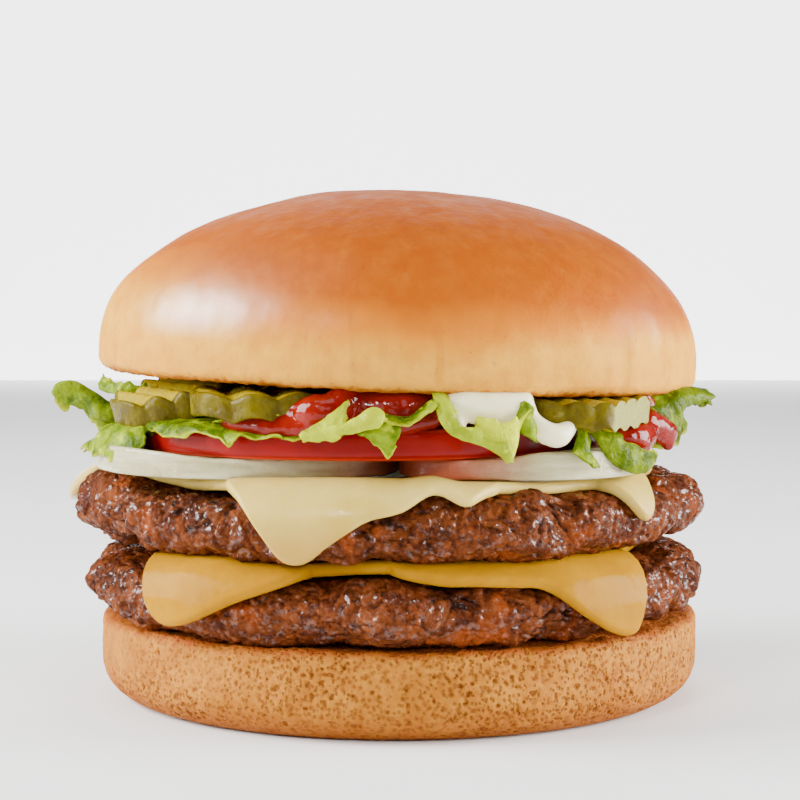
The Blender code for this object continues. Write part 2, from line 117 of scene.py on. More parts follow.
# Vegetables
ONION_SEAT = 40.9
ONION_THICK = 3.2
ONION_REACH = 3.8
ONIONS = {
    "onion_left": {"centre": (-25.0, -18.5), "radius": 25.5, "towards": 48.0},
    "onion_right": {"centre": (20.5, -26.5), "radius": 19.6, "towards": -52.0},
    "onion_back": {"centre": (5.0, 24.5), "radius": 25.4, "towards": 180.0},
}
TOMATO = {"centre": (-5.6, -8.6), "radius": 40.6, "low": 44.2, "thick": 4.8}
# Pickles: centre, radius, middle height, thickness, tilt, turn of the ridges, their spacing and their depth
PICKLES = {
    "pickle_left": ((-35.2, -20.8), 12.6, 52.3, 5.2, 14.0, 30.0, 3.5, 0.8),
    "pickle_front": ((-20.4, -35.8), 13.0, 52.6, 3.8, 2.0, 8.0, 7.0, 0.6),
    "pickle_right": ((28.6, -33.4), 13.0, 51.3, 4.2, 3.0, 28.0, 4.0, 0.4),
    "pickle_back_left": ((-22.0, 31.4), 12.8, 52.2, 4.0, 3.0, 30.0, 5.0, 0.7),
    "pickle_back_right": ((25.0, 29.4), 12.8, 51.2, 3.8, 3.0, -40.0, 5.4, 0.7),
}
PICKLE_CUT = {"node": "pickle_right", "azimuth": 63.0, "reach": 9.8}

# Lettuce: each leaf has smooth rails of (azimuth, radius, height), the last one being its free edge
LEAF_THICK = 0.5
LEAF_WAVE = 4.0
LEAF_FRILL = 1.5
LEAVES = {
    "leaf_left_tip": {"node": "lettuce_left_tip", "ruffle": 0.5, "frill": 2.6, "shade": 0.3, "rails": [
        [(-70, 44, 50), (-72, 48, 50.5), (-74, 51.5, 51.6), (-75.5, 54, 53.4), (-77, 57, 55),
         (-78.2, 59.6, 54.6)],
        [(-71, 45, 48.5), (-72.6, 50.5, 49), (-74, 53.5, 50.8), (-75.4, 55.6, 52.4), (-76.8, 58, 53.6),
         (-78, 60, 54)],
        [(-74, 46, 46.6), (-76, 51, 45.4), (-76.4, 53, 46.8), (-77, 54.4, 49), (-77.8, 56.8, 50.4),
         (-78.6, 60.4, 52.2)],
    ]},
    "leaf_left_flap": {"node": "lettuce_left_flap", "ruffle": 0.2, "rails": [
        [(-66, 46, 53), (-69, 49.5, 53), (-72, 51.6, 53), (-74.6, 52.8, 53.6)],
        [(-66, 46, 54), (-69, 49.6, 54), (-72, 51.6, 54.2), (-74.2, 52.8, 54.8)],
        [(-66, 46, 54.8), (-69, 49.4, 55), (-71, 51.2, 55.4), (-73.2, 52.6, 56.4)],
    ]},
    "leaf_left_curl": {"node": "lettuce_left_curl", "ruffle": 0.7, "frill": 1.9, "rails": [
        [(-72, 46, 47.4), (-66, 47, 48), (-60, 47, 48.4), (-54, 47, 48.6), (-50, 47, 48.4)],
        [(-70, 52.5, 47), (-64, 53, 47.9), (-58.5, 53.4, 48.3), (-54, 53.2, 48), (-50.6, 52.6, 47.2)],
        [(-72, 54.6, 45.2), (-66, 55.6, 45.6), (-60, 55.8, 45.6), (-54.5, 55.6, 45.2), (-50.4, 54, 45.6)],
        [(-73.4, 55.2, 44), (-68, 56.6, 44.2), (-62.6, 56.4, 43.4), (-56.4, 56.6, 43.2),
         (-50.6, 54.8, 44.4)],
    ]},
    "leaf_front_left": {"node": "lettuce_front_left", "ruffle": 0.25, "shade": 0.2, "rails": [
        [(-57, 43, 49.6), (-47, 43, 50), (-38, 43, 50.2), (-30, 43, 50), (-23, 43, 49.6), (-16, 43, 49.2)],
        [(-55.5, 50.4, 49.2), (-47, 51, 49.2), (-38, 51.4, 49.2), (-31, 51.6, 48.6), (-24, 51, 48.4),
         (-16, 50.6, 48.6)],
        [(-53.6, 51.6, 48.2), (-46.2, 53, 47.4), (-41.5, 53.4, 47.1), (-37.7, 53, 48.3), (-34, 53.4, 48.2),
         (-30.8, 54, 47.4), (-28.4, 54.2, 46.2), (-27, 53.4, 48.2), (-24.6, 53, 47.6), (-20.6, 52.8, 48.4),
         (-17.6, 52.6, 47.4), (-15.6, 52.2, 47.8)],
    ]},
    "leaf_front_left_edge": {"node": "lettuce_front_left", "ruffle": 0.15, "rails": [
        [(-36, 45, 49.6), (-31, 45, 50.2), (-27, 45, 50.2), (-22, 45, 50.6), (-17, 45, 51)],
        [(-37, 50.8, 49.4), (-33, 50.9, 50.2), (-30.2, 51.2, 51.5), (-26.6, 51, 50.6), (-22.8, 51.2, 51.6),
         (-18, 50.8, 51)],
    ]},
    "leaf_front_stem": {"node": "lettuce_front", "ruffle": 0.12, "thick": 1.2, "rib": 0.45, "rails": [
        [(-9.6, 47.6, 55.6), (-10.9, 51, 52.6), (-12.8, 52.6, 50.4), (-15.6, 53.8, 49)],
        [(-8.8, 48.2, 55.6), (-9.8, 51.8, 52.4), (-11, 53.4, 50.4), (-13.2, 54.4, 48.8)],
        [(-7.7, 47.6, 55.6), (-8.5, 51.2, 52.4), (-8.6, 53, 50.8), (-8.4, 54, 49.4)],
    ]},
    "leaf_front_body": {"node": "lettuce_front", "ruffle": 0.15, "thick": 1.3, "rib": 0.5, "rails": [
        [(-15.8, 53.6, 48.6), (-12.6, 53.6, 49.2), (-9.4, 53.6, 49.8), (-7, 53.6, 51), (-4.6, 53.6, 52.5),
         (-2.9, 53.2, 52.1)],
        [(-16.4, 54.4, 48.2), (-12.6, 54.6, 48.8), (-9, 54.7, 49.4), (-6.4, 54.8, 50.3), (-3.9, 54.6, 51.6),
         (-2.2, 53.8, 51.6)],
        [(-15.9, 53.9, 47.6), (-12.2, 54.2, 47.9), (-8.4, 54.3, 48.8), (-5.5, 54.3, 49.7),
         (-3.2, 54.2, 50.7), (-2.2, 53.6, 51.2)],
    ]},
    "leaf_front_flap": {"node": "lettuce_front", "ruffle": 0.35, "rails": [
        [(-8.6, 51.8, 49.8), (-5.4, 52.6, 50.2), (-2.4, 52.8, 50.6), (0.4, 52.2, 50.2)],
        [(-7, 53.4, 49), (-4.8, 54, 48.8), (-2.2, 54.4, 48.6), (0.2, 53.8, 48.9)],
        [(-6.2, 53.8, 48.6), (-4.4, 54.4, 47.6), (-1.9, 54.8, 46.2), (-0.3, 54.5, 46.8)],
    ]},
    "leaf_front_edge": {"node": "lettuce_front", "ruffle": 0.12, "rails": [
        [(-3.4, 46, 50.6), (0.4, 46, 50.4), (3.4, 46, 51), (6.2, 46, 53)],
        [(-3.4, 50.5, 51.6), (0.4, 50.5, 51), (3.4, 50.5, 52), (6.2, 50, 54)],
        [(-3.2, 53.6, 51), (0.2, 53.9, 50), (3.2, 53.8, 51), (6, 53.2, 53.2)],
    ]},
    "leaf_front_fold": {"node": "lettuce_front_right", "ruffle": 0.15, "thick": 0.8, "rib": 0.25, "rails": [
        [(6, 49, 55.2), (6.3, 52.4, 53), (6.9, 53.8, 50.6), (8.8, 54.8, 48.6), (12.8, 55.4, 47.2),
         (16, 55.8, 45.6), (17.7, 56, 43.8)],
        [(7.2, 49.6, 55.2), (7.9, 53.6, 52.8), (8.6, 54.9, 50.3), (10.4, 55.6, 48.8), (14, 56, 47.6),
         (16.9, 56.2, 46.2), (17.9, 56.2, 44)],
        [(8.2, 49, 55.2), (9.3, 52.8, 52.6), (10.2, 54, 50.4), (11.8, 55, 49.6), (14.9, 55.6, 48.4),
         (17.8, 56, 46.8), (18.2, 56, 44.2)],
    ]},
    "leaf_front_bright": {"node": "lettuce_front_right", "ruffle": 0.35, "rib": 0.8, "rails": [
        [(14.2, 54.4, 48.4), (15.2, 54.8, 47.4), (16.8, 55.4, 46.2), (18.2, 55.8, 45), (19.4, 55.2, 46.8)],
        [(12.6, 53.8, 49.6), (14.4, 54.4, 49.2), (16.8, 55, 48.8), (19, 55, 49.2), (20.8, 54.2, 50.4)],
        [(11.8, 54, 50.6), (13.4, 55, 51.8), (16.4, 55.6, 50.8), (19, 55.2, 50.8), (21.5, 54.4, 52)],
    ]},
    "leaf_right_curl": {"node": "lettuce_front_right", "ruffle": 0.2, "rails": [
        [(20.6, 51.6, 53), (20.4, 52.4, 51.6), (20.2, 53.2, 50), (19.8, 53.8, 48.6)],
        [(22, 53, 53.4), (21.7, 54.2, 51.6), (21.7, 54.6, 50), (21.8, 54.6, 48.2)],
        [(23.4, 52.2, 52.6), (22.9, 53.6, 51.8), (22.9, 54, 50), (23.4, 54, 47.8)],
    ]},
    "leaf_right_hook": {"node": "lettuce_right_strip", "ruffle": 0.2, "shade": 0.2, "rails": [
        [(32.6, 51.6, 50.2), (32.2, 52.6, 48.4), (31, 53.4, 46.4), (30, 54, 45.2)],
        [(33.4, 52, 49.6), (33.2, 53.4, 47.4), (32.8, 54.2, 45), (33, 54.8, 43.2)],
        [(34.4, 52, 48.6), (34, 53.2, 46.8), (34.2, 54, 44.6), (35.4, 54.6, 42.8)],
    ]},
    "leaf_right_lobe": {"node": "lettuce_right_lobe", "ruffle": 0.25, "thick": 0.8, "shade": 0.45,
                        "rails": [
        [(33, 49.5, 50.6), (36.2, 52, 47.6), (37.8, 53.4, 44.6), (40.5, 54.2, 42.4), (44.5, 54.4, 41.4),
         (48.5, 53.8, 42.2)],
        [(35.6, 49.5, 50.4), (38.4, 52.6, 48.2), (40.6, 54, 45.6), (43.4, 54.8, 43.8), (47, 55, 43),
         (50.5, 53.9, 43.2)],
        [(38.2, 49.5, 49.6), (41.2, 52.2, 47.8), (43.4, 53.4, 46.2), (46.2, 54.2, 45.2), (49.4, 54.2, 44.8),
         (51.6, 53.4, 43.8)],
    ]},
    "leaf_right_tip": {"node": "lettuce_right_tip", "ruffle": 0.55, "frill": 2.2, "shade": 0.6, "rails": [
        [(50, 44, 52.5), (55, 46, 53.4), (62, 49, 54), (68, 51.5, 54.2), (73, 54.4, 53.8)],
        [(53, 47, 49.5), (57, 50, 50.6), (62, 51.6, 52), (67, 53, 53), (72.4, 55.4, 52.6)],
        [(56, 48.5, 46.6), (59, 50.8, 47), (62, 52, 49), (65.5, 52.8, 51.4), (72.6, 55.8, 51.4)],
        [(58, 49.5, 44.6), (61.5, 51.2, 44.8), (65.4, 52.8, 47.4), (65, 52.2, 50.6), (73, 55.6, 50.8)],
    ]},
    "leaf_back_right": {"node": "lettuce_back_right", "ruffle": 0.9, "rails": [
        [(102, 44, 48.2), (114, 44, 48.6), (126, 44, 48.8), (138, 44, 48.6), (147, 44, 48.4)],
        [(103, 50.5, 48), (114, 52, 48.8), (126, 52, 48.4), (138, 51.4, 48.6), (146, 50.4, 47.8)],
        [(104, 52.6, 45.2), (112, 54.6, 47), (121, 54.8, 44.2), (130, 54.2, 43.6), (138, 54, 46.2),
         (145, 52.4, 45.8)],
    ]},
    "leaf_back": {"node": "lettuce_back", "ruffle": 0.9, "rails": [
        [(158, 44, 49.2), (170, 44, 49.6), (182, 44, 49.8), (198, 44, 49.2)],
        [(159, 50.4, 49), (170, 52, 49.2), (182, 51.8, 49.6), (197, 50.6, 48.8)],
        [(160, 52.4, 46.4), (168, 54.4, 45.2), (177, 54.2, 47.4), (186, 54.4, 45.4), (196, 52.8, 46.4)],
    ]},
    "leaf_back_left": {"node": "lettuce_back_left", "ruffle": 0.9, "rails": [
        [(-147, 44, 48.6), (-134, 44, 49), (-120, 44, 49), (-103, 44, 48.6)],
        [(-147, 50.4, 48.4), (-134, 52.4, 48.6), (-120, 52.2, 49), (-103, 50.8, 48.4)],
        [(-146, 52.4, 46), (-137, 54.8, 45.4), (-127, 55, 47.4), (-118, 54.8, 45), (-104, 53, 46.4)],
    ]},
}

# Sauces: runs of balls of (azimuth, radius, height, ball size) that melt together
SAUCE_VOXEL = 0.4
SAUCES = {
    "ketchup_pool": {"node": "ketchup_front", "runs": [
        [(-33, 49.4, 49.8, 1.5), (-29, 50.2, 49.7, 1.9), (-25, 50.6, 49.6, 2), (-20, 50.6, 49.5, 1.9),
         (-15, 50.4, 49.4, 2), (-12, 50.2, 49.8, 2)],
        [(-18.5, 49.6, 51.4, 2), (-15, 50.2, 51.8, 2.6), (-11.5, 49.8, 52.4, 2.8), (-10, 48.6, 54.2, 2.4)],
        [(-9, 46.4, 52.2, 3.2), (-4, 46.4, 52.4, 3.4), (1, 46.4, 52.6, 3.4), (6.5, 46.2, 52.8, 2.8)],
        [(-9, 48, 50, 1.9), (-3, 48.2, 49.8, 1.9), (3, 48, 50.2, 1.9), (6, 47.4, 50.8, 1.8)],
        [(-30, 42, 51.4, 3), (-15, 42, 52, 3.2), (4, 42, 52.2, 3.2)],
    ]},
    "ketchup_blobs": {"node": "ketchup_right", "runs": [
        [(43, 48.4, 47.4, 1.8), (46, 49.8, 47, 2.3), (50, 50.4, 46.6, 2.6), (53.5, 50.2, 47, 2.2)],
        [(55, 49.8, 48.9, 1.9), (58.5, 50.2, 47.9, 2.4), (62.5, 50, 46.7, 2.5), (65.5, 48.8, 47.2, 2)],
        [(56, 48.2, 53.6, 1.3), (58, 48.4, 51.6, 1.6), (60, 48.9, 49.6, 1.9), (62.5, 49.4, 48, 2.2)],
        [(61, 50.8, 45.6, 1.5), (61.4, 51.2, 44.8, 1)],
        [(46, 43, 49.4, 2.6), (60, 43, 50, 2.6)],
    ]},
    "ketchup_rear": {"node": "ketchup_back", "runs": [
        [(177, 46.5, 52.2, 2.4), (184, 47, 52, 3), (192, 46.8, 52.2, 2.8), (201, 46, 52.4, 2.2)],
        [(183, 49.4, 50.6, 2), (188, 49.8, 50.2, 2.2), (193, 49.2, 50.6, 1.9)],
        [(180, 40, 52, 3), (198, 40, 52.2, 3)],
    ]},
    "mayonnaise_dollop": {"node": "mayonnaise_front", "runs": [
        [(9.8, 50, 53.2, 2), (12.5, 50.6, 52.7, 2.5), (16, 50.8, 52.6, 2.6), (19.5, 50.8, 52.6, 2.5),
         (22.4, 50.6, 53.2, 2)],
        [(9.9, 50.8, 51.8, 1.7), (10.2, 51.8, 50, 1.4), (10.4, 52.2, 49.2, 1)],
        [(22.4, 50.8, 52.8, 2), (23.8, 51.6, 50.6, 1.6), (25.4, 52.4, 48.9, 1.8), (27.4, 52.9, 48.1, 1.9),
         (29.2, 52.8, 48.5, 1.6), (30.7, 52.6, 49.4, 1.2), (31.9, 52.3, 50.4, 0.95), (32.9, 52, 51.4, 0.8)],
        [(12, 45, 52.8, 3), (22, 45, 52.8, 3)],
    ]},
    "mayonnaise_rear": {"node": "mayonnaise_back", "runs": [
        [(147, 46.4, 51.2, 2.2), (154, 47.4, 51.4, 2.6), (162, 47.4, 51.8, 2.8), (170, 46.6, 52.2, 2.2)],
        [(156, 49.6, 49.8, 1.9), (160, 49.8, 49.2, 1.7)],
        [(150, 38, 51.4, 3), (168, 38, 52, 3)],
    ]},
}

# How light soaks into bread, and how it spreads in red food
BREAD_GLOW = (0.05, 0.002, (1.0, 0.5, 0.25))
RED_SPREAD = (1.0, 0.12, 0.06)

# Lights: (place in metres, size, power)
LAMPS = {
    "left": ((-0.57, -0.06, 0.3), 0.4, 13.4),
    "right": ((0.58, -0.04, 0.16), 0.4, 12.5),
    "front": ((-0.1, -0.75, 0.35), 0.3, 0.8),
    "glint_left": ((-0.26, -0.62, 0.42), 0.07, 1.9),
    "glint_right": ((0.34, -0.58, 0.26), 0.05, 1.0),
    "top": ((0.0, -0.1, 0.8), 0.4, 1.8),
    "back": ((0.0, 0.6, 0.45), 0.4, 1.6),
}
LAMP_TARGET = (0.0, 0.0, 0.045)
AMBIENT = 0.28

# Camera
PHOTO_PIXELS = 800.0
FOCAL_PIXELS = 2204.0
CAMERA_PLACE = (0.00027, -0.3895, 0.0737)
CAMERA_TILT = 3.35


def polar(azimuth, radius, height):
    """Points at azimuths in degrees, radii and heights."""
    angle = np.radians(azimuth)
    return np.stack(np.broadcast_arrays(radius * np.sin(angle), -radius * np.cos(angle), height), axis=-1)


def azimuth_of(points):
    return np.degrees(np.arctan2(points[..., 0], -points[..., 1]))


def reach_of(points):
    """Distance from the upright axis."""
    return np.hypot(points[..., 0], points[..., 1])


def unit(vectors, least=1e-9):
    """Vectors brought to length 1, apart from those shorter than least."""
    return vectors / np.maximum(np.linalg.norm(vectors, axis=-1), least)[..., None]


def pushed_out(points, out, least):
    """Points moved away from the upright axis, less so where they are nearer to it than least."""
    moved = points.copy()
    moved[:, :2] *= (1.0 + out / np.maximum(reach_of(points), least))[:, None]
    return moved


def soft(t):
    """A soft step from 0 to 1 as t goes from 0 to 1."""
    t = np.clip(t, 0.0, 1.0)
    return t * t * (3.0 - 2.0 * t)


def bump(azimuth, middle, half_width):
    """A smooth hump of height 1 round an azimuth."""
    off = np.abs((azimuth - middle + 180.0) % 360.0 - 180.0)
    return soft(1.0 - off / half_width)


def hills(azimuth, humps):
    """Several humps of (azimuth, half width, height) added up."""
    return sum(height * bump(azimuth, middle, half_width) for middle, half_width, height in humps)


def lottery(cell, salt):
    """A repeatable number from 0 to 1 for each whole-number cell."""
    cell = cell.astype(np.uint64)
    mixed = cell[..., 0] * np.uint64(374761393) + cell[..., 1] * np.uint64(668265263)
    mixed = mixed + cell[..., 2] * np.uint64(2147483647) + np.uint64(salt * 1274126177)
    mixed = (mixed ^ (mixed >> np.uint64(13))) * np.uint64(1274126177)
    mixed = mixed ^ (mixed >> np.uint64(16))
    return (mixed & np.uint64(0xFFFFFF)).astype(float) / 0x1000000


def lumps(points, size, salt=0):
    """Smooth noise from -1 to 1 with lumps of about this size."""
    spot = points / size
    base = np.floor(spot).astype(np.int64)
    part = soft(spot - base)
    total = np.zeros(points.shape[:-1])
    for corner in product((0, 1), repeat=3):
        weight = np.prod(np.where(np.array(corner) == 1, part, 1.0 - part), axis=-1)
        total += weight * lottery(base + np.array(corner), salt)
    return total * 2.0 - 1.0


def layered(points, size, octaves, salt=0):
    """Noise with finer lumps on coarser ones, about -1 to 1."""
    total = np.zeros(points.shape[:-1])
    for level in range(octaves):
        total += lumps(points + 13.7 * level, size / 2.0**level, salt + level) / 2.0**level
    return total / (2.0 - 0.5 ** (octaves - 1))


def grains(points, size, salt=0):
    """Distance to the nearest scattered seed, to the second nearest, and the nearest seed's own number."""
    spot = points / size
    base = np.floor(spot).astype(np.int64)
    near = np.full(points.shape[:-1], 9.0)
    second = np.full(points.shape[:-1], 9.0)
    own = np.zeros(points.shape[:-1])
    for step in product((-1, 0, 1), repeat=3):
        cell = base + np.array(step)
        seed = cell + np.stack([lottery(cell, salt + k) for k in range(3)], axis=-1)
        gap = np.linalg.norm(spot - seed, axis=-1)
        closer = gap < near
        second = np.where(closer, near, np.minimum(second, gap))
        own = np.where(closer, lottery(cell, salt + 3), own)
        near = np.minimum(near, gap)
    return near, second, own


def resampled(profile, step):
    """Points every step or so along a profile."""
    profile = np.asarray(profile, dtype=float)
    lengths = np.concatenate([[0.0], np.cumsum(np.linalg.norm(np.diff(profile, axis=0), axis=1))])
    spots = np.linspace(0.0, lengths[-1], max(2, int(lengths[-1] / step)))
    return np.stack([np.interp(spots, lengths, profile[:, k]) for k in range(2)], axis=-1)


def arc(centre, radii, start, end, count):
    angles = np.radians(np.linspace(start, end, count + 1))
    return list(zip(centre[0] + radii[0] * np.cos(angles), centre[1] + radii[1] * np.sin(angles)))


def rim(radius, low, high, corner):
    """Profile of a flat round slice with soft corners, from its top's middle to its foot's middle."""
    top = arc((radius - corner, high - corner), (corner, corner), 90, 0, 8)
    foot = arc((radius - corner, low + corner), (corner, corner), 0, -90, 8)
    return resampled([(0.5, high)] + top + foot + [(0.5, low)], 0.4)


def curve(stations, count):
    """Points along a smooth line, or rows of points across smooth rails, through stations."""
    stations = np.asarray(stations, dtype=float)
    before = 2.0 * stations[:1] - stations[1:2]
    after = 2.0 * stations[-1:] - stations[-2:-1]
    padded = np.concatenate([before, stations, after])
    spots = np.linspace(0.0, len(stations) - 1.0, count)
    first = np.minimum(spots.astype(int), len(stations) - 2)
    t = (spots - first).reshape(-1, *[1] * (stations.ndim - 1))
    a, b, c, d = (padded[first + k] for k in range(4))
    square = (2.0 * a - 5.0 * b + 4.0 * c - d) * t**2
    cube = (3.0 * b - a - 3.0 * c + d) * t**3
    return 0.5 * (2.0 * b + (c - a) * t + square + cube)


def round_edge(edge, azimuth):
    """Height of a slice's edge all round, with its corners slightly softened."""
    stations = np.asarray(edge, dtype=float)
    total = np.zeros(len(azimuth))
    shifts = np.linspace(-1.4, 1.4, 7)
    for shift in shifts:
        total += np.interp(azimuth + shift, stations[:, 0], stations[:, 1], period=360.0)
    return total / len(shifts)


def mesh_object(name, points, faces):
    mesh = bpy.data.meshes.new(name)
    mesh.from_pydata((np.asarray(points) * MM).tolist(), [], faces)
    mesh.validate()
    mesh.shade_smooth()
    obj = bpy.data.objects.new(name, mesh)
    bpy.context.scene.collection.objects.link(obj)
    return obj


def paint(obj, **values):
    """Keeps numbers for each point on the mesh, for its material to read."""
    for name, numbers in values.items():
        layer = obj.data.attributes.new(name, "FLOAT", "POINT")
        layer.data.foreach_set("value", np.asarray(numbers, dtype=np.float32).ravel())


def ring_faces(rows, columns, first, last):
    """Faces of a closed round surface: rows of points round the axis, with a single point at each end."""
    i = np.arange(rows - 1)[:, None] * columns
    j = np.arange(columns)[None, :]
    k = (j + 1) % columns
    quads = np.stack(np.broadcast_arrays(i + j, i + columns + j, i + columns + k, i + k), axis=-1)
    faces = quads.reshape(-1, 4).tolist()
    j, k = j.ravel(), k.ravel()
    faces += [[first, a, b] for a, b in zip(j.tolist(), k.tolist())]
    end = (rows - 1) * columns
    faces += [[end + b, end + a, last] for a, b in zip(j.tolist(), k.tolist())]
    return faces


def turned(name, profile, steps, shape):
    """A closed round body: a profile of (radius, height), top to bottom, swept round and then shaped.

    shape takes an array of points and returns the moved points and a dictionary of numbers to paint.
    """
    profile = np.asarray(profile)
    azimuth = np.linspace(-180.0, 180.0, steps, endpoint=False)[None, :]
    rings = polar(azimuth, profile[:, :1], profile[:, 1:])
    ends = np.array([[0.0, 0.0, profile[0, 1]], [0.0, 0.0, profile[-1, 1]]])
    moved, painted = shape(np.concatenate([rings.reshape(-1, 3), ends]))
    count = len(profile) * steps
    obj = mesh_object(name, moved, ring_faces(len(profile), steps, count, count + 1))
    paint(obj, **painted)
    return obj


def dress(obj, node, material):
    """Gives a piece its material and puts it in the place of its CAD node."""
    obj.data.materials.clear()
    obj.data.materials.append(material)
    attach(obj, "root")
    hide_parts(node)
    return obj


def srgb(colour):
    """An 8-bit screen colour as the linear one that a shader takes."""
    linear = [(c / 255.0 / 12.92) if c <= 10 else ((c / 255.0 + 0.055) / 1.055) ** 2.4 for c in colour[:3]]
    return (*linear, 1.0)


class Material:
    """A node material, built up from a few plain calls."""

    def __init__(self, name, roughness, specular=0.5, glow=None, **sockets):
        """glow says how light soaks in: its weight, its depth in metres and its spread in each colour."""
        self.material = bpy.data.materials.new(name)
        self.material.use_nodes = True
        self.tree = self.material.node_tree
        self.shader = self.tree.nodes["Principled BSDF"]
        sockets.update(Roughness=roughness, Specular_IOR_Level=specular)
        if glow:
            sockets.update(Subsurface_Weight=glow[0], Subsurface_Scale=glow[1], Subsurface_Radius=glow[2])
        for socket, value in sockets.items():
            self.shader.inputs[socket.replace("_", " ")].default_value = value
        self.place = self.scaled(self.add("ShaderNodeTexCoord").outputs["Object"], (1.0 / MM,) * 3)

    def add(self, kind, **settings):
        node = self.tree.nodes.new(kind)
        for setting, value in settings.items():
            setattr(node, setting, value)
        return node

    def join(self, source, target):
        self.tree.links.new(source, target)

    def feed(self, socket, value):
        if isinstance(value, bpy.types.NodeSocket):
            self.join(value, socket)
        else:
            socket.default_value = value

    def scaled(self, vector, scale):
        node = self.add("ShaderNodeMapping")
        node.inputs["Scale"].default_value = scale
        self.join(vector, node.inputs["Vector"])
        return node.outputs["Vector"]

    def noise(self, size, detail=3.0, rough=0.55, stretch=None):
        """Noise from 0 to 1 with features of this many millimetres."""
        node = self.add("ShaderNodeTexNoise")
        node.inputs["Scale"].default_value = 1.0 / size
        node.inputs["Detail"].default_value = detail
        node.inputs["Roughness"].default_value = rough
        self.join(self.scaled(self.place, stretch) if stretch else self.place, node.inputs["Vector"])
        return node.outputs["Fac"]

    def cells(self, size, feature="F1"):
        """Distance within scattered cells of this many millimetres."""
        node = self.add("ShaderNodeTexVoronoi", feature=feature)
        node.inputs["Scale"].default_value = 1.0 / size
        self.join(self.place, node.inputs["Vector"])
        return node.outputs["Distance"]

    def number(self, name):
        """A number painted on the mesh."""
        return self.add("ShaderNodeAttribute", attribute_name=name).outputs["Fac"]

    def axis(self, letter):
        """The place along X, Y or Z in millimetres."""
        split = self.add("ShaderNodeSeparateXYZ")
        self.join(self.place, split.inputs["Vector"])
        return split.outputs[letter]

    def math(self, operation, a, b=0.0):
        node = self.add("ShaderNodeMath", operation=operation)
        self.feed(node.inputs[0], a)
        self.feed(node.inputs[1], b)
        return node.outputs[0]

    def times(self, a, b):
        return self.math("MULTIPLY", a, b)

    def plus(self, a, b):
        return self.math("ADD", a, b)

    def span(self, value, low, high, to_low=0.0, to_high=1.0):
        """The value, moved from one range to another and held within it."""
        node = self.add("ShaderNodeMapRange", clamp=True, interpolation_type="SMOOTHSTEP")
        self.feed(node.inputs["Value"], value)
        ends = {"From Min": low, "From Max": high, "To Min": to_low, "To Max": to_high}
        for socket, number in ends.items():
            node.inputs[socket].default_value = number
        return node.outputs["Result"]

    def ramp(self, value, *stops):
        """Colours along the value from 0 to 1: (place, colour) stops."""
        node = self.add("ShaderNodeValToRGB")
        self.feed(node.inputs["Fac"], value)
        elements = node.color_ramp.elements
        while len(elements) < len(stops):
            elements.new(0.5)
        for element, (place, colour) in zip(elements, stops):
            element.position = place
            element.color = srgb(colour)
        return node.outputs["Color"]

    def mix(self, share, a, b):
        node = self.add("ShaderNodeMix", data_type="RGBA")
        self.feed(node.inputs["Factor"], share)
        for socket, colour in (("A", a), ("B", b)):
            self.feed(node.inputs[socket], srgb(colour) if isinstance(colour, tuple) else colour)
        return node.outputs["Result"]

    def over(self, base, colour, value, low, high, share=1.0):
        """A colour that covers the base, up to this share of it, as the value goes from low to high."""
        return self.mix(self.span(value, low, high, 0.0, share), base, colour)

    def relief(self, *layers):
        """Bumps of (height from 0 to 1, millimetres deep)."""
        normal = None
        for height, depth in layers:
            node = self.add("ShaderNodeBump")
            node.inputs["Strength"].default_value = 1.0
            node.inputs["Distance"].default_value = depth * MM
            self.join(height, node.inputs["Height"])
            if normal is not None:
                self.join(normal, node.inputs["Normal"])
            normal = node.outputs["Normal"]
        self.join(normal, self.shader.inputs["Normal"])

    def surface(self, colour, roughness=None, coat=None):
        for socket, value in (("Base Color", colour), ("Roughness", roughness), ("Coat Weight", coat)):
            if value is not None:
                self.join(value, self.shader.inputs[socket])
        return self.material


def crust_material():
    m = Material("baked_crust", 0.45, 0.03, BREAD_GLOW, Coat_Roughness=0.32, Coat_IOR=1.9)
    drift = m.plus(m.times(m.noise(26.0), 8.0), m.times(m.noise(6.0, 2.0), 2.4))
    # The level carries painted light and shade round the crown as well as its real baking.
    level = m.math("SUBTRACT", m.plus(m.number("baked"), drift), 5.2)
    bake = m.ramp(
        m.span(level, 0.0, 36.0),
        (0.0, (210, 148, 40)),
        (0.17, (214, 154, 44)),
        (0.35, (196, 114, 12)),
        (0.56, (160, 76, 0)),
        (1.0, (144, 64, 0)),
    )
    # Painted shade: upright streaks, darker on the pale band, like shade in creases.
    creased = m.over(bake, (172, 96, 14), m.noise(2.6, stretch=(1.0, 1.0, 0.1)), 0.56, 0.72, 0.3)
    mottled = m.over(creased, (176, 96, 10), m.noise(3.2, 4.0, 0.6), 0.35, 0.7, 0.3)
    freckled = m.over(mottled, (116, 50, 4), m.noise(0.9, 2.0, 0.5), 0.66, 0.78, 0.3)
    ragged_rise = m.plus(m.number("rise"), m.times(m.noise(1.2, 4.0, 0.65), 2.4))
    toasted = m.mix(m.span(ragged_rise, 1.3, 2.2, 0.75, 0.0), freckled, (146, 60, 6))
    m.relief((m.noise(9.0, 2.0), 0.5), (m.noise(1.6, 4.0, 0.6), 0.16), (m.noise(0.5, 2.0), 0.04))
    egg_wash = m.times(m.number("gloss"), m.span(m.noise(3.0), 0.25, 0.6, 0.75, 1.0))
    return m.surface(toasted, m.span(m.noise(5.0), 0.3, 0.7, 0.4, 0.54), egg_wash)


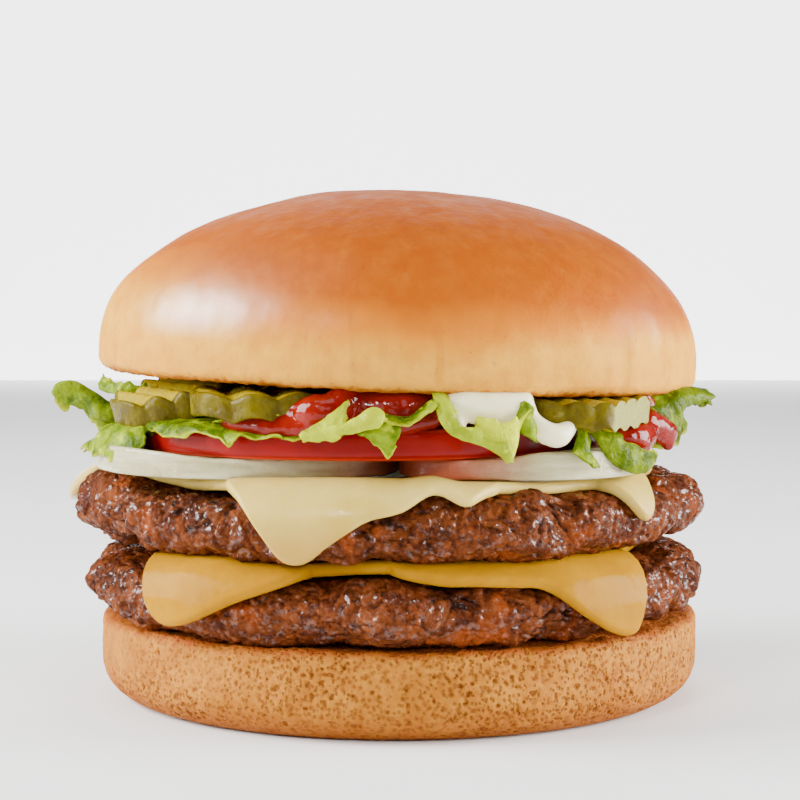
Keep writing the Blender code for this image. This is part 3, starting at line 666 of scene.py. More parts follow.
def heel_material():
    m = Material("heel_crust", 0.7, 0.12, BREAD_GLOW)
    base = m.over((156, 96, 18), (186, 124, 36), m.noise(7.0, 4.0, 0.6), 0.3, 0.7)
    grain = m.over(base, (150, 80, 14), m.noise(1.1, 4.0, 0.6), 0.35, 0.7, 0.5)
    pores = m.times(m.span(m.cells(0.8), 0.2, 0.46, 1.0, 0.0), m.number("porous"))
    # Painted shade: the pores are darkened as if shaded inside.
    sponge = m.mix(m.times(pores, 0.7), grain, (122, 64, 10))
    level = m.plus(m.axis("Z"), m.times(m.noise(2.4), 3.0))
    foot = m.mix(m.span(level, 2.0, 8.0, 0.75, 0.0), sponge, (142, 72, 12))
    rim_tone = m.over(foot, (142, 58, 14), level, 14.6, 16.4, 0.8)
    # Painted shade: the dented pits are darkened as if shaded inside.
    pitted = m.over(rim_tone, (112, 56, 12), m.number("pit"), 0.08, 0.8, 0.75)
    between = m.math("SUBTRACT", 1.0, pores)
    m.relief((m.noise(0.9, 4.0, 0.65), 0.2), (between, 0.26), (m.noise(0.35, 2.0), 0.06))
    return m.surface(pitted)


def beef_material():
    m = Material("seared_beef", 0.5, 0.04, Coat_Roughness=0.1, Coat_IOR=1.5)
    body = m.over((72, 30, 12), (114, 56, 24), m.noise(6.0, 4.0, 0.6), 0.32, 0.68)
    fine = m.over((42, 15, 6), body, m.noise(0.9, 4.0, 0.65), 0.3, 0.7)
    grain = m.over(fine, (130, 68, 32), m.number("own"), 0.3, 1.0, 0.6)
    # Painted shade: near black in the cracks and hollows marked by deep.
    crevice = m.over(grain, (24, 7, 4), m.number("deep"), 0.2, 0.85, 0.9)
    greasy = m.over(crevice, (140, 60, 12), m.noise(9.0, 2.0), 0.56, 0.7, 0.5)
    m.relief((m.noise(0.9, 3.0, 0.6), 0.26), (m.cells(0.7), 0.12), (m.noise(0.35, 2.0, 0.5), 0.05))
    wet = m.span(m.noise(1.2, 4.0, 0.7), 0.5, 0.62, 0.0, 0.9)
    return m.surface(greasy, m.span(m.noise(1.4), 0.38, 0.62, 0.4, 0.6), wet)


def yellow_cheese_material():
    m = Material("yellow_cheese", 0.2, 0.03, (0.08, 0.0015, (1.0, 0.5, 0.05)))
    colour = m.over((152, 104, 0), (170, 119, 0), m.noise(12.0), 0.3, 0.7)
    fine = m.over(colour, (144, 96, 0), m.noise(2.0), 0.4, 0.75, 0.3)
    m.relief((m.noise(6.0, 2.0), 0.3), (m.noise(1.0), 0.05))
    return m.surface(fine, m.span(m.noise(5.0), 0.3, 0.7, 0.12, 0.24))


def white_cheese_material():
    m = Material("white_cheese", 0.2, 0.14, (0.2, 0.002, (1.0, 0.7, 0.3)))
    colour = m.over((190, 160, 66), (205, 178, 94), m.noise(11.0), 0.3, 0.7)
    shaded = m.mix(m.span(m.axis("Z"), 30.0, 38.0, 0.7, 0.0), colour, (164, 122, 34))
    m.relief((m.noise(6.0, 2.0), 0.3), (m.noise(0.9), 0.04))
    return m.surface(shaded, m.span(m.noise(4.0), 0.3, 0.7, 0.14, 0.26))


def onion_material():
    """Pale streaked onion, reddened near the middle of its front: partly a tomato stain, partly painted
    shade and a painted reflection of the tomato.
    """
    m = Material("raw_onion", 0.12, 0.4, (0.4, 0.003, (1.0, 0.8, 0.6)), Transmission_Weight=0.15)
    sideways = m.math("ABSOLUTE", m.math("SUBTRACT", m.axis("X"), 5.0))
    beside = m.span(m.plus(sideways, m.times(m.noise(6.0, 2.0), 8.0)), 8.0, 24.0, 0.9, 0.0)
    # Partly tomato stain, partly painted shade and painted reflection: reddish brown near the front middle.
    juice = m.times(beside, m.span(m.axis("Y"), -20.0, 0.0, 1.0, 0.0))
    streaks = m.over((206, 200, 160), (176, 168, 122), m.noise(2.4, stretch=(0.16, 0.16, 1.2)), 0.35, 0.66)
    m.relief((m.noise(2.6), 0.3), (m.noise(0.9, 3.0, 0.6), 0.16))
    return m.surface(m.mix(juice, streaks, (204, 96, 66)))


def tomato_material():
    m = Material("tomato_skin", 0.3, 0.06, (0.06, 0.002, RED_SPREAD), Coat_Weight=0.14, Coat_Roughness=0.08)
    colour = m.over((116, 5, 4), (132, 10, 6), m.noise(9.0), 0.3, 0.7)
    m.relief((m.noise(3.0, 2.0), 0.08))
    return m.surface(m.over(colour, (176, 40, 12), m.number("rim"), 0.3, 0.9))


def lettuce_material():
    m = Material("lettuce_leaf", 0.35, 0.07, (0.1, 0.001, (0.7, 1.0, 0.1)))
    colour = m.over((58, 82, 0), (124, 146, 0), m.noise(3.6, 4.0), 0.34, 0.64)
    veins = m.span(m.cells(2.6, "DISTANCE_TO_EDGE"), 0.0, 0.08, 0.7, 0.0)
    veined = m.mix(m.times(veins, 0.2), colour, (140, 150, 4))
    pale = m.over(veined, (182, 196, 10), m.noise(2.4, 2.0), 0.58, 0.7, 0.7)
    shaded = m.mix(m.number("shade"), pale, (56, 66, 0))
    ribbed = m.mix(m.number("rib"), shaded, (206, 214, 14))
    # Painted highlight: a paler yellow-green along the free edge.
    edged = m.over(ribbed, (166, 170, 4), m.number("edge"), 0.9, 1.0, 0.7)
    m.relief((m.noise(1.8), 0.5), (veins, 0.05))
    return m.surface(edged, m.span(m.noise(2.4, 2.0), 0.35, 0.65, 0.2, 0.42))


def pickle_material():
    m = Material("pickle", 0.2, 0.1, (0.12, 0.0015, (0.8, 1.0, 0.2)))
    rind = m.over((72, 60, 0), (100, 88, 4), m.noise(4.0, 4.0, 0.6), 0.3, 0.7)
    flesh = m.over((160, 136, 4), (158, 142, 20), m.noise(3.0), 0.3, 0.7)
    whole = m.over(rind, flesh, m.number("flesh"), 0.3, 0.8)
    sliced = m.mix(m.number("cut"), whole, (146, 142, 74))
    bloom = m.over(sliced, (150, 152, 92), m.noise(4.6), 0.62, 0.72, 0.5)
    specks = m.over(bloom, (50, 46, 8), m.noise(0.7, 2.0), 0.62, 0.74, 0.5)
    m.relief((m.noise(1.4, 4.0, 0.6), 0.3))
    return m.surface(specks, m.span(m.noise(1.6, 2.0), 0.4, 0.6, 0.16, 0.42))


def ketchup_material():
    m = Material("ketchup", 0.1, 0.22, (0.05, 0.0015, RED_SPREAD))
    m.relief((m.noise(2.6, 2.0), 0.32), (m.noise(0.7, 2.0), 0.02))
    return m.surface(m.over((100, 7, 2), (130, 20, 4), m.noise(4.0), 0.3, 0.7))


def mayonnaise_material():
    m = Material("mayonnaise", 0.22, 0.4, (0.3, 0.003, (1.0, 0.85, 0.5)))
    m.relief((m.noise(3.0, 2.0), 0.2))
    return m.surface(m.over((236, 226, 174), (243, 235, 192), m.noise(5.0), 0.3, 0.7))


def bun_wobble(points, seed):
    """How far a bun's side stands out of true round."""
    return 0.35 * lumps(polar(azimuth_of(points), 26.0, seed * 20.0), 20.0)


def heel():
    """The bottom bun, with its pitted side."""
    foot = BUN_RADIUS - HEEL_FOOT_ROUND
    rim_centre = (BUN_RADIUS - HEEL_RIM_ROUND, HEEL_HEIGHT - HEEL_RIM_ROUND)
    profile = [(0.6, HEEL_HEIGHT), (BUN_RADIUS - 8.0, HEEL_HEIGHT)]
    profile += arc(rim_centre, (HEEL_RIM_ROUND, HEEL_RIM_ROUND), 90, 0, 8)
    profile += arc((foot, HEEL_FOOT_ROUND), (HEEL_FOOT_ROUND, HEEL_FOOT_ROUND), 0, -90, 12) + [(0.6, 0.0)]
    outer = [tuple(p) for p in resampled(profile, 0.28) if p[0] > BUN_RADIUS - 9.0]
    inner_top = [(r, HEEL_HEIGHT) for r in np.linspace(0.6, BUN_RADIUS - 9.5, 24)]
    inner_foot = [(r, 0.0) for r in np.linspace(BUN_RADIUS - 9.5, 0.6, 24)]

    def shape(points):
        height = points[:, 2]
        side = soft((reach_of(points) - BUN_RADIUS + 7.5) / 3.5) * soft((height - 0.05) / 1.2)
        smooth_part = 0.75 * bump(azimuth_of(points), -62.0, 40.0) * soft((height - 4.0) / 5.0)
        porous = np.clip(0.95 + 0.4 * lumps(points, 11.0, 90) - smooth_part, 0.2, 1.0)
        near, _, own = grains(points, 1.45, 5)
        pit = soft((0.46 - near) / 0.26) * soft((own - 0.25) / 0.4)
        small, _, chance = grains(points, 1.0, 9)
        pinhole = soft((0.5 - small) / 0.3) * soft((chance - 0.1) / 0.3)
        swell = bun_wobble(points, 4.0) + 0.16 * layered(points, 3.0, 3, 20)
        inwards = (0.3 * pit + 0.24 * pinhole) * side * porous
        moved = pushed_out(points, swell * side - inwards, 1.0)
        crumbly = soft((height - HEEL_HEIGHT + 2.0) / 2.0)
        moved[:, 2] -= crumbly * (0.3 + 0.45 * layered(points, 2.6, 3, 31)) * side
        hole = np.clip((0.7 * pit + 0.7 * pinhole) * side * porous, 0.0, 1.0)
        return moved, {"pit": hole, "porous": porous}

    obj = turned("heel", inner_top + outer + inner_foot, ROUND_STEPS["heel"], shape)
    return dress(obj, "bun_heel", heel_material())


def crown():
    """The top bun: a smooth dome, lightly dented, with a toasted lower edge and a flat cut underside."""
    dome = CROWN_HEIGHT - CROWN_WAIST
    angles = np.linspace(0.01, math.pi / 2.0, 110)
    radii = BUN_RADIUS * np.sin(angles) ** (2.0 / DOME_POWER)
    heights = CROWN_WAIST + dome * np.cos(angles) ** (2.0 / DOME_POWER)
    profile = list(zip(radii, heights))
    edge = (BUN_RADIUS - CROWN_EDGE_ROUND, CROWN_EDGE_ROUND)
    profile += arc(edge, (CROWN_EDGE_ROUND, CROWN_EDGE_ROUND), -10, -90, 14)
    profile += [(r, 0.0) for r in np.linspace(BUN_RADIUS - 3.2, 0.6, 60)]
    lean = np.array(Matrix.Rotation(math.radians(CROWN_ROLL), 3, "Y"))

    def shape(points):
        azimuth, reach, height = azimuth_of(points), reach_of(points), points[:, 2]
        swell = bun_wobble(points, 9.0) * soft(reach / 24.0)
        swell += 0.5 * lumps(points, 24.0, 40) + 0.12 * layered(points, 5.0, 3, 44)
        band = soft((16.0 - height) / 8.0) * soft(height / 2.0)
        folds = lumps(polar(azimuth, 52.0, height * 0.12), 2.4, 52)
        swell += 0.3 * band * folds * (0.15 + bump(azimuth, 40.0, 34.0))
        flat_shoulder = bump(azimuth, -85.0, 60.0) * soft((height - 11.0) / 12.0)
        swell -= 1.15 * flat_shoulder * soft((reach - 12.0) / 16.0)
        under = (height < 0.3) & (reach < BUN_RADIUS - 2.0)
        moved = points + unit(points, 1.0) * np.where(under, 0.0, swell)[:, None]
        moved[:, 2] += np.where(under, 0.25 * layered(points, 4.0, 3, 61), 0.0)
        moved[:, 2] += 0.22 * layered(points, 0.9, 2, 66) * soft((2.0 - height) / 1.4)
        moved = moved @ lean.T + np.array([CROWN_SHIFT, 0.0, CROWN_SEAT])
        # Baking level with painted light and shade: paler on the lit left, darker on the right and at the
        # front.
        baked = height + hills(azimuth, BAKED_SIDES) * soft((height - 6.0) / 8.0)
        baked += hills(azimuth, BAKED_FRONT)
        gloss = hills(azimuth, GLOSSY) * soft((height - 6.0) / 6.0) * soft((25.0 - height) / 8.0)
        return moved, {"rise": height, "baked": baked, "gloss": gloss}

    obj = turned("crown", profile, ROUND_STEPS["crown"], shape)
    return dress(obj, "bun_crown", crust_material())


def patty_reach(size, azimuth):
    """Radius of a patty's outline before its crags."""
    spots = polar(azimuth, 40.0, size["seed"] * 30.0)
    return size["radius"] + PATTY_LOBE * lumps(spots, 17.0) + 0.8 * lumps(spots, 7.0, 3)


def lip_height(size, azimuth):
    """Height of a patty's top rim."""
    spots = polar(azimuth, 40.0, size["seed"] * 40.0)
    return size["lip"] + hills(azimuth, size["raised"]) + 0.5 * lumps(spots, 12.0, 7)


def patty(name, node, size, material):
    """A patty of coarse, seared mince."""
    radius, low, top = size["radius"], size["low"], size["top"]
    half = (size["lip"] - low) / 2.0
    side = arc((radius - PATTY_ROUND, low + half), (PATTY_ROUND, half), 90, -90, 40)
    edge = resampled([(radius - 16.0, top)] + side + [(radius - 16.0, low)], 0.27)
    inner_top = [(r, top) for r in np.linspace(0.6, radius - 16.5, 30)]
    inner_low = [(r, low) for r in np.linspace(radius - 16.5, 0.6, 30)]
    salt = int(size["seed"]) * 7

    def grown(points, azimuth, reach):
        """Points on the patty's lumpy outline and raised rim, before its crags."""
        share = soft((reach - radius + 15.0) / 9.0)
        high = soft((points[:, 2] - low - half) / half) * share
        outer = patty_reach(size, azimuth) - radius
        height = points[:, 2] + high * (lip_height(size, azimuth) - size["lip"])
        scale = (reach + outer * share) / np.maximum(reach, 0.001)
        return np.stack([points[:, 0] * scale, points[:, 1] * scale, height], axis=-1)

    def shape(points):
        azimuth, reach = azimuth_of(points), reach_of(points)
        body = grown(points, azimuth, reach)
        warped = body + 1.2 * np.stack([lumps(body, 3.2, salt + 60 + k) for k in range(3)], axis=-1)
        chunk, chunk_second, own = grains(warped * np.array([1.0, 1.0, 1.25]), 4.6, salt)
        fine, fine_second, fine_own = grains(warped + 5.0, 1.45, salt + 20)
        grit, _, _ = grains(warped - 3.0, 0.85, salt + 40)
        crack = soft(1.0 - (chunk_second - chunk) / 0.16) * soft((own - 0.3) / 0.5)
        fine_crack = soft(1.0 - (fine_second - fine) / 0.35)
        hollow = soft(layered(body, 9.0, 3, salt + 33) * 1.8 + 0.1)
        granule = 0.75 * fine**2 * (0.4 + fine_own) + 0.32 * grit**2
        lobes = 1.0 * lumps(body, 5.5, salt + 50) + 0.45 * lumps(warped, 2.6, salt + 51)
        depth = 0.4 * crack + granule + 0.3 * chunk**2 + 1.5 * hollow + lobes
        for middle, at, wide, out in size["bulges"]:
            depth -= out * bump(azimuth, middle, wide) * soft(1.2 - np.abs(points[:, 2] - at) / 5.0)
        pull = body - np.array([0.0, 0.0, low + half])
        inner = np.clip((reach - radius + PATTY_ROUND + 4.0) / np.maximum(reach, 1.0), 0.0, 1.0)
        pull[:, :2] *= inner[:, None]
        rough_side = soft((reach - radius + 14.0) / 7.0)
        moved = body - unit(pull, 0.5) * ((depth - 0.45) * rough_side)[:, None]
        moved[:, :2] += np.array(size["centre"])
        # deep marks the cracks and hollows that get painted shade.
        deep = np.clip(0.7 * crack + 0.35 * fine_crack * (1.0 - fine_own) + 0.6 * (hollow - 0.45), 0.0, 1.0)
        return moved, {"deep": deep, "own": 0.4 * own + 0.6 * fine_own}

    profile = inner_top + [tuple(p) for p in edge] + inner_low
    obj = turned(name, profile, ROUND_STEPS["patty"], shape)
    return dress(obj, node, material)


def patties():
    beef = beef_material()
    patty("lower_patty", "patty_lower", LOWER_PATTY, beef)
    patty("upper_patty", "patty_upper", UPPER_PATTY, beef)


def draped(size, below, azimuth, rows):
    """Radii and heights of a slice's middle surface, in rows: over the patty's rim and down its side."""
    steps = len(azimuth)
    lift = 0.25 + size["thick"] / 2.0
    bend = PATTY_ROUND * 0.9
    outer = patty_reach(below, azimuth)
    lip = lip_height(below, azimuth)
    turn = np.radians(np.linspace(90.0, 0.0, 18))[:, None]
    start = np.zeros((1, steps))
    level = start + below["top"] + lift
    over_rim = (outer - bend + (bend + lift) * np.cos(turn), lip - bend + (bend + lift) * np.sin(turn))
    line_r = np.concatenate([start, outer[None] - 16.0, over_rim[0], outer[None] + lift])
    line_z = np.concatenate([level, level, over_rim[1], lip[None] - bend - 25.0])
    steps_along = np.hypot(np.diff(line_r, axis=0), np.diff(line_z, axis=0))
    lengths = np.concatenate([start, np.cumsum(steps_along, axis=0)])
    goal = round_edge(size["edge"], azimuth) + 0.35 * lumps(polar(azimuth, 50.0, 5.0), 6.0, 2)
    share = 1.0 - (1.0 - np.linspace(0.01, 1.0, rows)) ** 1.25
    radii, heights = np.empty((rows, steps)), np.empty((rows, steps))
    for k in range(steps):
        past_crest = max(0.0, goal[k] - lip[k] - lift)
        reach = np.interp(-goal[k], -line_z[2:, k], lengths[2:, k]) - 2.0 * past_crest
        radii[:, k] = np.interp(share * reach, lengths[:, k], line_r[:, k])
        heights[:, k] = np.interp(share * reach, lengths[:, k], line_z[:, k])
    return radii, heights


def slice_over(name, size, below, sag):
    """A melted slice: it follows the patty below it over the rim and hangs down its side.

    sag moves the middle surface by (out, up).
    """
    steps = ROUND_STEPS["cheese"]
    rows, tip_rows = 130, 8
    azimuth = np.linspace(-180.0, 180.0, steps, endpoint=False)
    mid_r, mid_z = draped(size, below, azimuth, rows)
    out, up = sag(azimuth[None, :], mid_r, mid_z)
    mid_r, mid_z = mid_r + out, mid_z + up
    along_r, along_z = np.gradient(mid_r, axis=0), np.gradient(mid_z, axis=0)
    length = np.maximum(np.hypot(along_r, along_z), 1e-6)
    along_r, along_z = along_r / length, along_z / length
    half = size["thick"] / 2.0
    top = (mid_r - along_z * half, mid_z + along_r * half)
    low = (mid_r + along_z * half, mid_z - along_r * half)
    tip = np.radians(np.linspace(80.0, -80.0, tip_rows))[:, None]
    tip_r = mid_r[-1] + half * (along_r[-1] * np.cos(tip) - along_z[-1] * np.sin(tip))
    tip_z = mid_z[-1] + half * (along_z[-1] * np.cos(tip) + along_r[-1] * np.sin(tip))
    radii = np.concatenate([top[0], tip_r, low[0][::-1]])
    heights = np.concatenate([top[1], tip_z, low[1][::-1]])
    rings = polar(azimuth[None, :], radii, heights)
    rings[..., :2] += np.array(below["centre"])
    ends = np.array([[*below["centre"], heights[0].mean()], [*below["centre"], heights[-1].mean()]])
    points = np.concatenate([rings.reshape(-1, 3), ends])
    count = rings.shape[0] * steps
    return mesh_object(name, points, ring_faces(rings.shape[0], steps, count, count + 1))


def yellow_sag(azimuth, radius, height):
    hang = soft((26.0 - height) / 10.0)
    ripple = lumps(polar(azimuth, 50.0, height * 0.35), 9.0, 4)
    outer = soft((radius - 42.0) / 6.0)
    return 0.55 * hang * ripple + 0.3 * hang, (0.3 * ripple + 0.6 * soft((height - 21.0) / 4.0)) * outer


def white_sag(azimuth, radius, height):
    """Ripples where it hangs, a lifted wave at the front, a curl on the left and a swollen corner."""
    hang = soft((38.0 - height) / 9.0)
    ripple = lumps(polar(azimuth, 50.0, height * 0.35), 8.0, 9)
    wave = bump(azimuth, 7.5, 6.0) * soft((radius - 46.0) / 7.0)
    curl = bump(azimuth, -90.0, 14.0) * soft((radius - 50.0) / 5.0)
    corner = bump(azimuth, 53.0, 9.0) * soft((radius - 45.0) / 5.0) * soft((height - 37.5) / 2.0)
    return 0.5 * hang * ripple + 0.2 * hang + 0.8 * curl, 1.1 * wave + 1.3 * corner


def cheeses():
    yellow = slice_over("yellow_slice", YELLOW_CHEESE, LOWER_PATTY, yellow_sag)
    dress(yellow, "cheese_yellow", yellow_cheese_material())
    white = slice_over("white_slice", WHITE_CHEESE, UPPER_PATTY, white_sag)
    dress(white, "cheese_white", white_cheese_material())


def onions():
    material = onion_material()
    for salt, (node, size) in enumerate(ONIONS.items()):
        radius, low, high = size["radius"], ONION_SEAT, ONION_SEAT + ONION_THICK

        def shape(points):
            azimuth, reach = azimuth_of(points), reach_of(points)
            swell = 0.5 * lumps(polar(azimuth, 20.0, 7.0 * salt), 11.0, salt)
            swell += ONION_REACH * bump(azimuth, size["towards"], 40.0) * soft(reach / radius)
            layers = 0.16 * np.cos(2.0 * math.pi * (reach + swell) / 3.1) * soft((radius - reach) / 2.0)
            upward = np.where(points[:, 2] > (low + high) / 2.0, 1.0, -1.0)
            moved = pushed_out(points, swell, 2.0)
            moved[:, 2] += layers * upward
            moved[:, :2] += np.array(size["centre"])
            past_tomato = reach_of(moved - np.array([*TOMATO["centre"], 0.0])) - TOMATO["radius"]
            moved[:, 2] += 1.2 * soft((past_tomato - 1.0) / 5.0) * (upward > 0.0)
            return moved, {}

        onion = turned(node + "_slice", rim(radius, low, high, 0.45), ROUND_STEPS["onion"], shape)
        dress(onion, node, material)


def tomato():
    radius, low, thick = TOMATO["radius"], TOMATO["low"], TOMATO["thick"]
    middle = low + thick / 2.0

    def shape(points):
        swell = 0.7 * lumps(polar(azimuth_of(points), 30.0, 2.0), 22.0, 3)
        moved = pushed_out(points, swell, 2.0)
        moved[:, 2] += 0.15 * layered(points, 6.0, 2, 5) * soft((radius - 1.0 - reach_of(points)) / 2.0)
        moved[:, :2] += np.array(TOMATO["centre"])
        return moved, {"rim": soft((np.abs(points[:, 2] - middle) / (thick / 2.0) - 0.72) / 0.22)}

    obj = turned("tomato_slice", rim(radius, low, low + thick, 1.1), ROUND_STEPS["tomato"], shape)
    dress(obj, "tomato", tomato_material())


def pickles():
    """Ridged slices; one has a flat cut edge."""
    material = pickle_material()
    for salt, (node, size) in enumerate(PICKLES.items()):
        centre, radius, middle, thick, tilt, ridges, spacing, deep = size
        outward = math.atan2(centre[0], -centre[1])
        hinge = Vector((math.cos(outward), math.sin(outward), 0.0))
        lean = Matrix.Rotation(math.radians(tilt), 3, hinge)
        turn = np.array(lean @ Matrix.Rotation(math.radians(ridges), 3, "Z"))
        cut = math.radians(PICKLE_CUT["azimuth"] - 90.0 - ridges)
        cut_way = np.array([math.cos(cut), math.sin(cut), 0.0])

        def shape(points):
            wave = 2.0 * np.sqrt(np.sin(math.pi * points[:, 0] / spacing) ** 2 + 0.015) - 1.0
            reach = reach_of(points)
            edge = soft((reach - radius + 3.0) / 3.0)
            skin = 0.4 * lumps(points * np.array([1.0, 1.0, 0.3]), 4.0, salt + 70) + 0.26 * wave
            moved = pushed_out(points, edge * (skin + 0.2 * layered(points, 1.6, 2, salt + 75)), 1.0)
            moved[:, 2] += deep * wave + 0.15 * layered(points, 2.5, 2, salt + 80) * (1.0 - edge)
            flesh = 1.0 - soft((reach - radius + 1.6) / 1.2)
            cut_face = np.zeros(len(points))
            if node == PICKLE_CUT["node"]:
                past = moved @ cut_way - PICKLE_CUT["reach"]
                moved -= np.where(past > 0.0, past * 0.94, 0.0)[:, None] * cut_way
                cut_face = soft(past / 0.4)
            return moved @ turn.T + np.array([*centre, middle]), {"flesh": flesh, "cut": cut_face}

        profile = rim(radius, -thick / 2.0, thick / 2.0, 0.55)
        chip = turned(node + "_chip", profile, ROUND_STEPS["pickle"], shape)
        dress(chip, node, material)


def closed_sheet(name, grid, thick, rim_share):
    """A closed sheet over a grid of points, both faces split into triangles alike; thinner at its rim."""
    rows, columns = grid.shape[:2]
    u = np.linspace(0.0, 1.0, rows)[:, None]
    v = np.linspace(0.0, 1.0, columns)[None, :]
    inside = np.minimum(np.minimum(u, 1.0 - u) * rows, np.minimum(v, 1.0 - v) * columns)
    half = thick / 2.0 * (rim_share + (1.0 - rim_share) * soft(inside / 4.0))
    offset = grid_normal(grid) * half[..., None]
    points = np.concatenate([(grid + offset).reshape(-1, 3), (grid - offset).reshape(-1, 3)])
    i = np.arange(rows - 1)[:, None] * columns
    j = np.arange(columns - 1)[None, :]
    a, b, c, d = ((i + j + step).ravel() for step in (0, 1, columns + 1, columns))
    face = np.concatenate([np.stack([a, b, c], axis=-1), np.stack([a, c, d], axis=-1)])
    under = rows * columns
    border = [*range(columns), *range(2 * columns - 1, under, columns)]
    border += [*range(under - 2, under - columns - 1, -1), *range(under - 2 * columns, 0, -columns)]
    ahead = border[1:] + border[:1]
    wall = [[q, p, p + under] for p, q in zip(border, ahead)]
    wall += [[q, p + under, q + under] for p, q in zip(border, ahead)]
    faces = np.concatenate([face, face[:, ::-1] + under, np.array(wall)])
    corner = points[faces]
    volume = np.einsum("ij,ij->i", corner[:, 0], np.cross(corner[:, 1], corner[:, 2])).sum()
    if volume < 0.0:
        faces = faces[:, ::-1]
    return mesh_object(name, points, faces.tolist())


def grid_normal(grid):
    return unit(np.cross(np.gradient(grid, axis=0), np.gradient(grid, axis=1)))


def leaf(name, size, material, salt):
    """One lettuce leaf across its smooth rails; its last rail is the free edge."""
    columns, rows = 96, 44
    lines = np.stack([curve(polar(*np.array(rail, dtype=float).T), columns) for rail in size["rails"]])
    grid = curve(lines, rows)
    share = np.linspace(0.0, 1.0, rows)[:, None]
    ends = np.abs(np.linspace(-1.0, 1.0, columns))[None, :]
    across, along = unit(np.gradient(grid, axis=0)), unit(np.gradient(grid, axis=1))
    swing = lumps(grid, LEAF_WAVE, salt) * (0.35 + 0.65 * share)
    swing += (0.25 + 0.45 * share) * lumps(grid, LEAF_WAVE / 2.6, salt + 1)
    crinkle = 0.3 * layered(grid, 1.9, 2, salt + 2)
    grid = grid + grid_normal(grid) * (size["ruffle"] * swing + crinkle)[..., None]
    frill = size.get("frill", LEAF_FRILL)
    grid = grid + across * (frill * layered(grid, 1.7, 2, salt + 3) * soft((share - 0.6) / 0.4))[..., None]
    grid = grid + along * (frill * layered(grid, 1.7, 2, salt + 5) * soft((ends - 0.8) / 0.2))[..., None]
    obj = closed_sheet(name, grid, size.get("thick", LEAF_THICK), 0.45)
    edge = np.tile(np.broadcast_to(share, grid.shape[:2]).ravel(), 2)
    paint(obj, edge=edge, **{tone: np.full(len(edge), size.get(tone, 0.0)) for tone in ("rib", "shade")})
    return dress(obj, size["node"], material)


def lettuces():
    blade = lettuce_material()
    for k, (name, size) in enumerate(LEAVES.items()):
        leaf(name, size, blade, 300 + 7 * k)


def ball_points(turns, bands):
    """A ball of radius 1: rows of points round the axis, then its two poles."""
    down = np.linspace(0.0, math.pi, bands + 2)[1:-1][:, None]
    around = np.linspace(0.0, 2.0 * math.pi, turns, endpoint=False)[None, :]
    rows = np.broadcast_arrays(np.sin(down) * np.cos(around), np.sin(down) * np.sin(around), np.cos(down))
    return np.concatenate([np.stack(rows, axis=-1).reshape(-1, 3), [[0.0, 0.0, 1.0], [0.0, 0.0, -1.0]]])


def sauce(name, node, runs, material, salt):
    """A dollop: runs of balls of (azimuth, radius, height, ball size), melted together."""
    turns, bands = 20, 12
    ball = ball_points(turns, bands)
    ball_faces = ring_faces(bands, turns, bands * turns, bands * turns + 1)
    points, faces = [], []
    for run in runs:
        stations = np.array(run, dtype=float)
        centres = np.concatenate([polar(*stations[:, :3].T), stations[:, 3:]], axis=1)
        for x, y, z, size in curve(centres, 12 * len(run)):
            start = len(points) * len(ball)
            points.append(ball * size + [x, y, z])
            faces += [[k + start for k in face] for face in ball_faces]
    obj = mesh_object(name + "_balls", np.concatenate(points), faces)
    melt = obj.modifiers.new("melt", "REMESH")
    melt.mode = "VOXEL"
    melt.voxel_size = SAUCE_VOXEL * MM
    smooth = obj.modifiers.new("smooth", "SMOOTH")
    smooth.factor, smooth.iterations = 0.5, 8
    shaped = obj.evaluated_get(bpy.context.evaluated_depsgraph_get()).to_mesh()
    melted, normals = np.empty(len(shaped.vertices) * 3), np.empty(len(shaped.vertices) * 3)
    shaped.vertices.foreach_get("co", melted)
    shaped.vertices.foreach_get("normal", normals)
    melted = melted.reshape(-1, 3) / MM
    uneven = 0.28 * lumps(melted, 3.4, salt) + 0.1 * lumps(melted, 1.3, salt + 1)
    melted += normals.reshape(-1, 3) * uneven[:, None]
    faces = [list(face.vertices) for face in shaped.polygons]
    obj.to_mesh_clear()
    bpy.data.objects.remove(obj)
    return dress(mesh_object(name, melted, faces), node, material)


def sauces():
    materials = {"ketchup": ketchup_material(), "mayonnaise": mayonnaise_material()}
    for k, (name, size) in enumerate(SAUCES.items()):
        slot = size["node"].split("_")[0]
        sauce(name, size["node"], size["runs"], materials[slot], 501 + 10 * k)


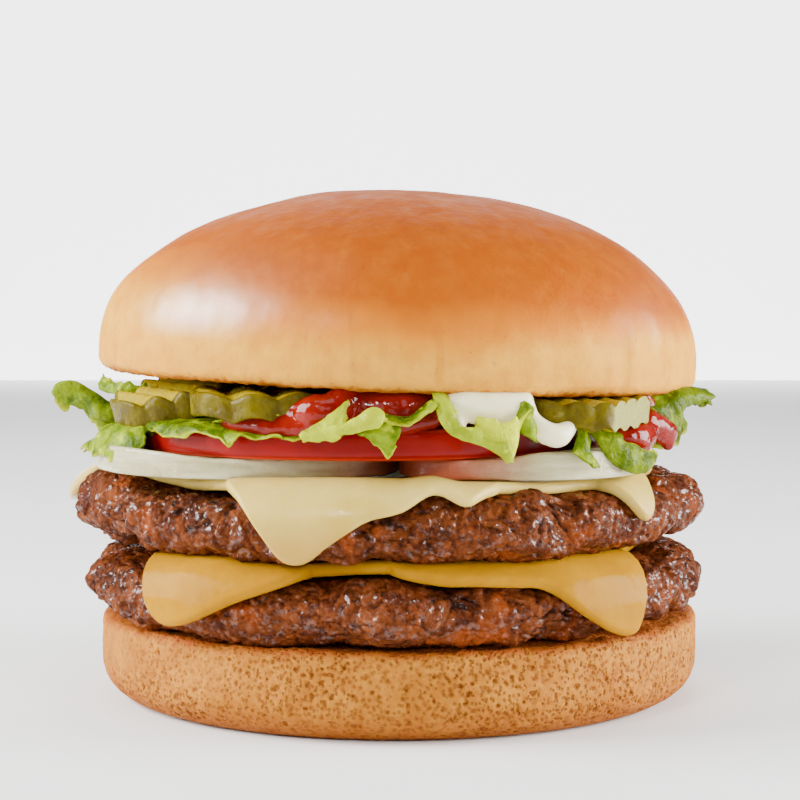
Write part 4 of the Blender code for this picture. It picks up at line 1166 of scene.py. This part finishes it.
def studio():
    """A pale floor, a white backdrop, soft lights and plain white light all round."""
    corners = [(-1200, -1200, 0), (1200, -1200, 0), (1200, 1200, 0), (-1200, 1200, 0)]
    floor = mesh_object("floor", corners, [(0, 1, 2, 3)])
    pale = Material("pale_floor", 0.7)
    floor.data.materials.append(pale.surface(pale.mix(pale.noise(40.0), (246, 246, 245), (251, 251, 250))))
    corners = [(-420, 1100, -20), (420, 1100, -20), (420, 1100, 270), (-420, 1100, 270)]
    backdrop = mesh_object("backdrop", corners, [(0, 1, 2, 3)])
    white = Material("white_backdrop", 1.0, 0.0, Emission_Strength=3.0, Emission_Color=(1.0, 1.0, 1.0, 1.0))
    tone = white.mix(white.noise(60.0), (240, 240, 240), (246, 246, 246))
    backdrop.data.materials.append(white.surface(tone))
    world = bpy.data.worlds.new("studio")
    bpy.context.scene.world = world
    world.use_nodes = True
    world.node_tree.nodes["Background"].inputs["Color"].default_value = (1.0, 1.0, 1.0, 1.0)
    world.node_tree.nodes["Background"].inputs["Strength"].default_value = AMBIENT
    for name, (place, size, power) in LAMPS.items():
        lamp(name, place, size, power)


def lamp(name, place, size, power):
    data = bpy.data.lights.new(name, "AREA")
    data.shape = "SQUARE"
    data.size = size
    data.energy = power
    obj = bpy.data.objects.new(name, data)
    bpy.context.scene.collection.objects.link(obj)
    obj.location = place
    obj.rotation_euler = (Vector(LAMP_TARGET) - Vector(place)).to_track_quat("-Z", "Y").to_euler()


def camera():
    """The photograph's viewpoint, a little above the burger's middle and close to it."""
    data = bpy.data.cameras.new("view")
    data.sensor_width = 36.0
    data.lens = FOCAL_PIXELS / PHOTO_PIXELS * data.sensor_width
    data.clip_start = 0.01
    obj = bpy.data.objects.new("view", data)
    bpy.context.scene.collection.objects.link(obj)
    obj.location = CAMERA_PLACE
    obj.rotation_euler = (math.radians(90.0 - CAMERA_TILT), 0.0, 0.0)
    bpy.context.scene.camera = obj


heel()
patties()
cheeses()
onions()
tomato()
pickles()
lettuces()
sauces()
crown()
studio()
camera()
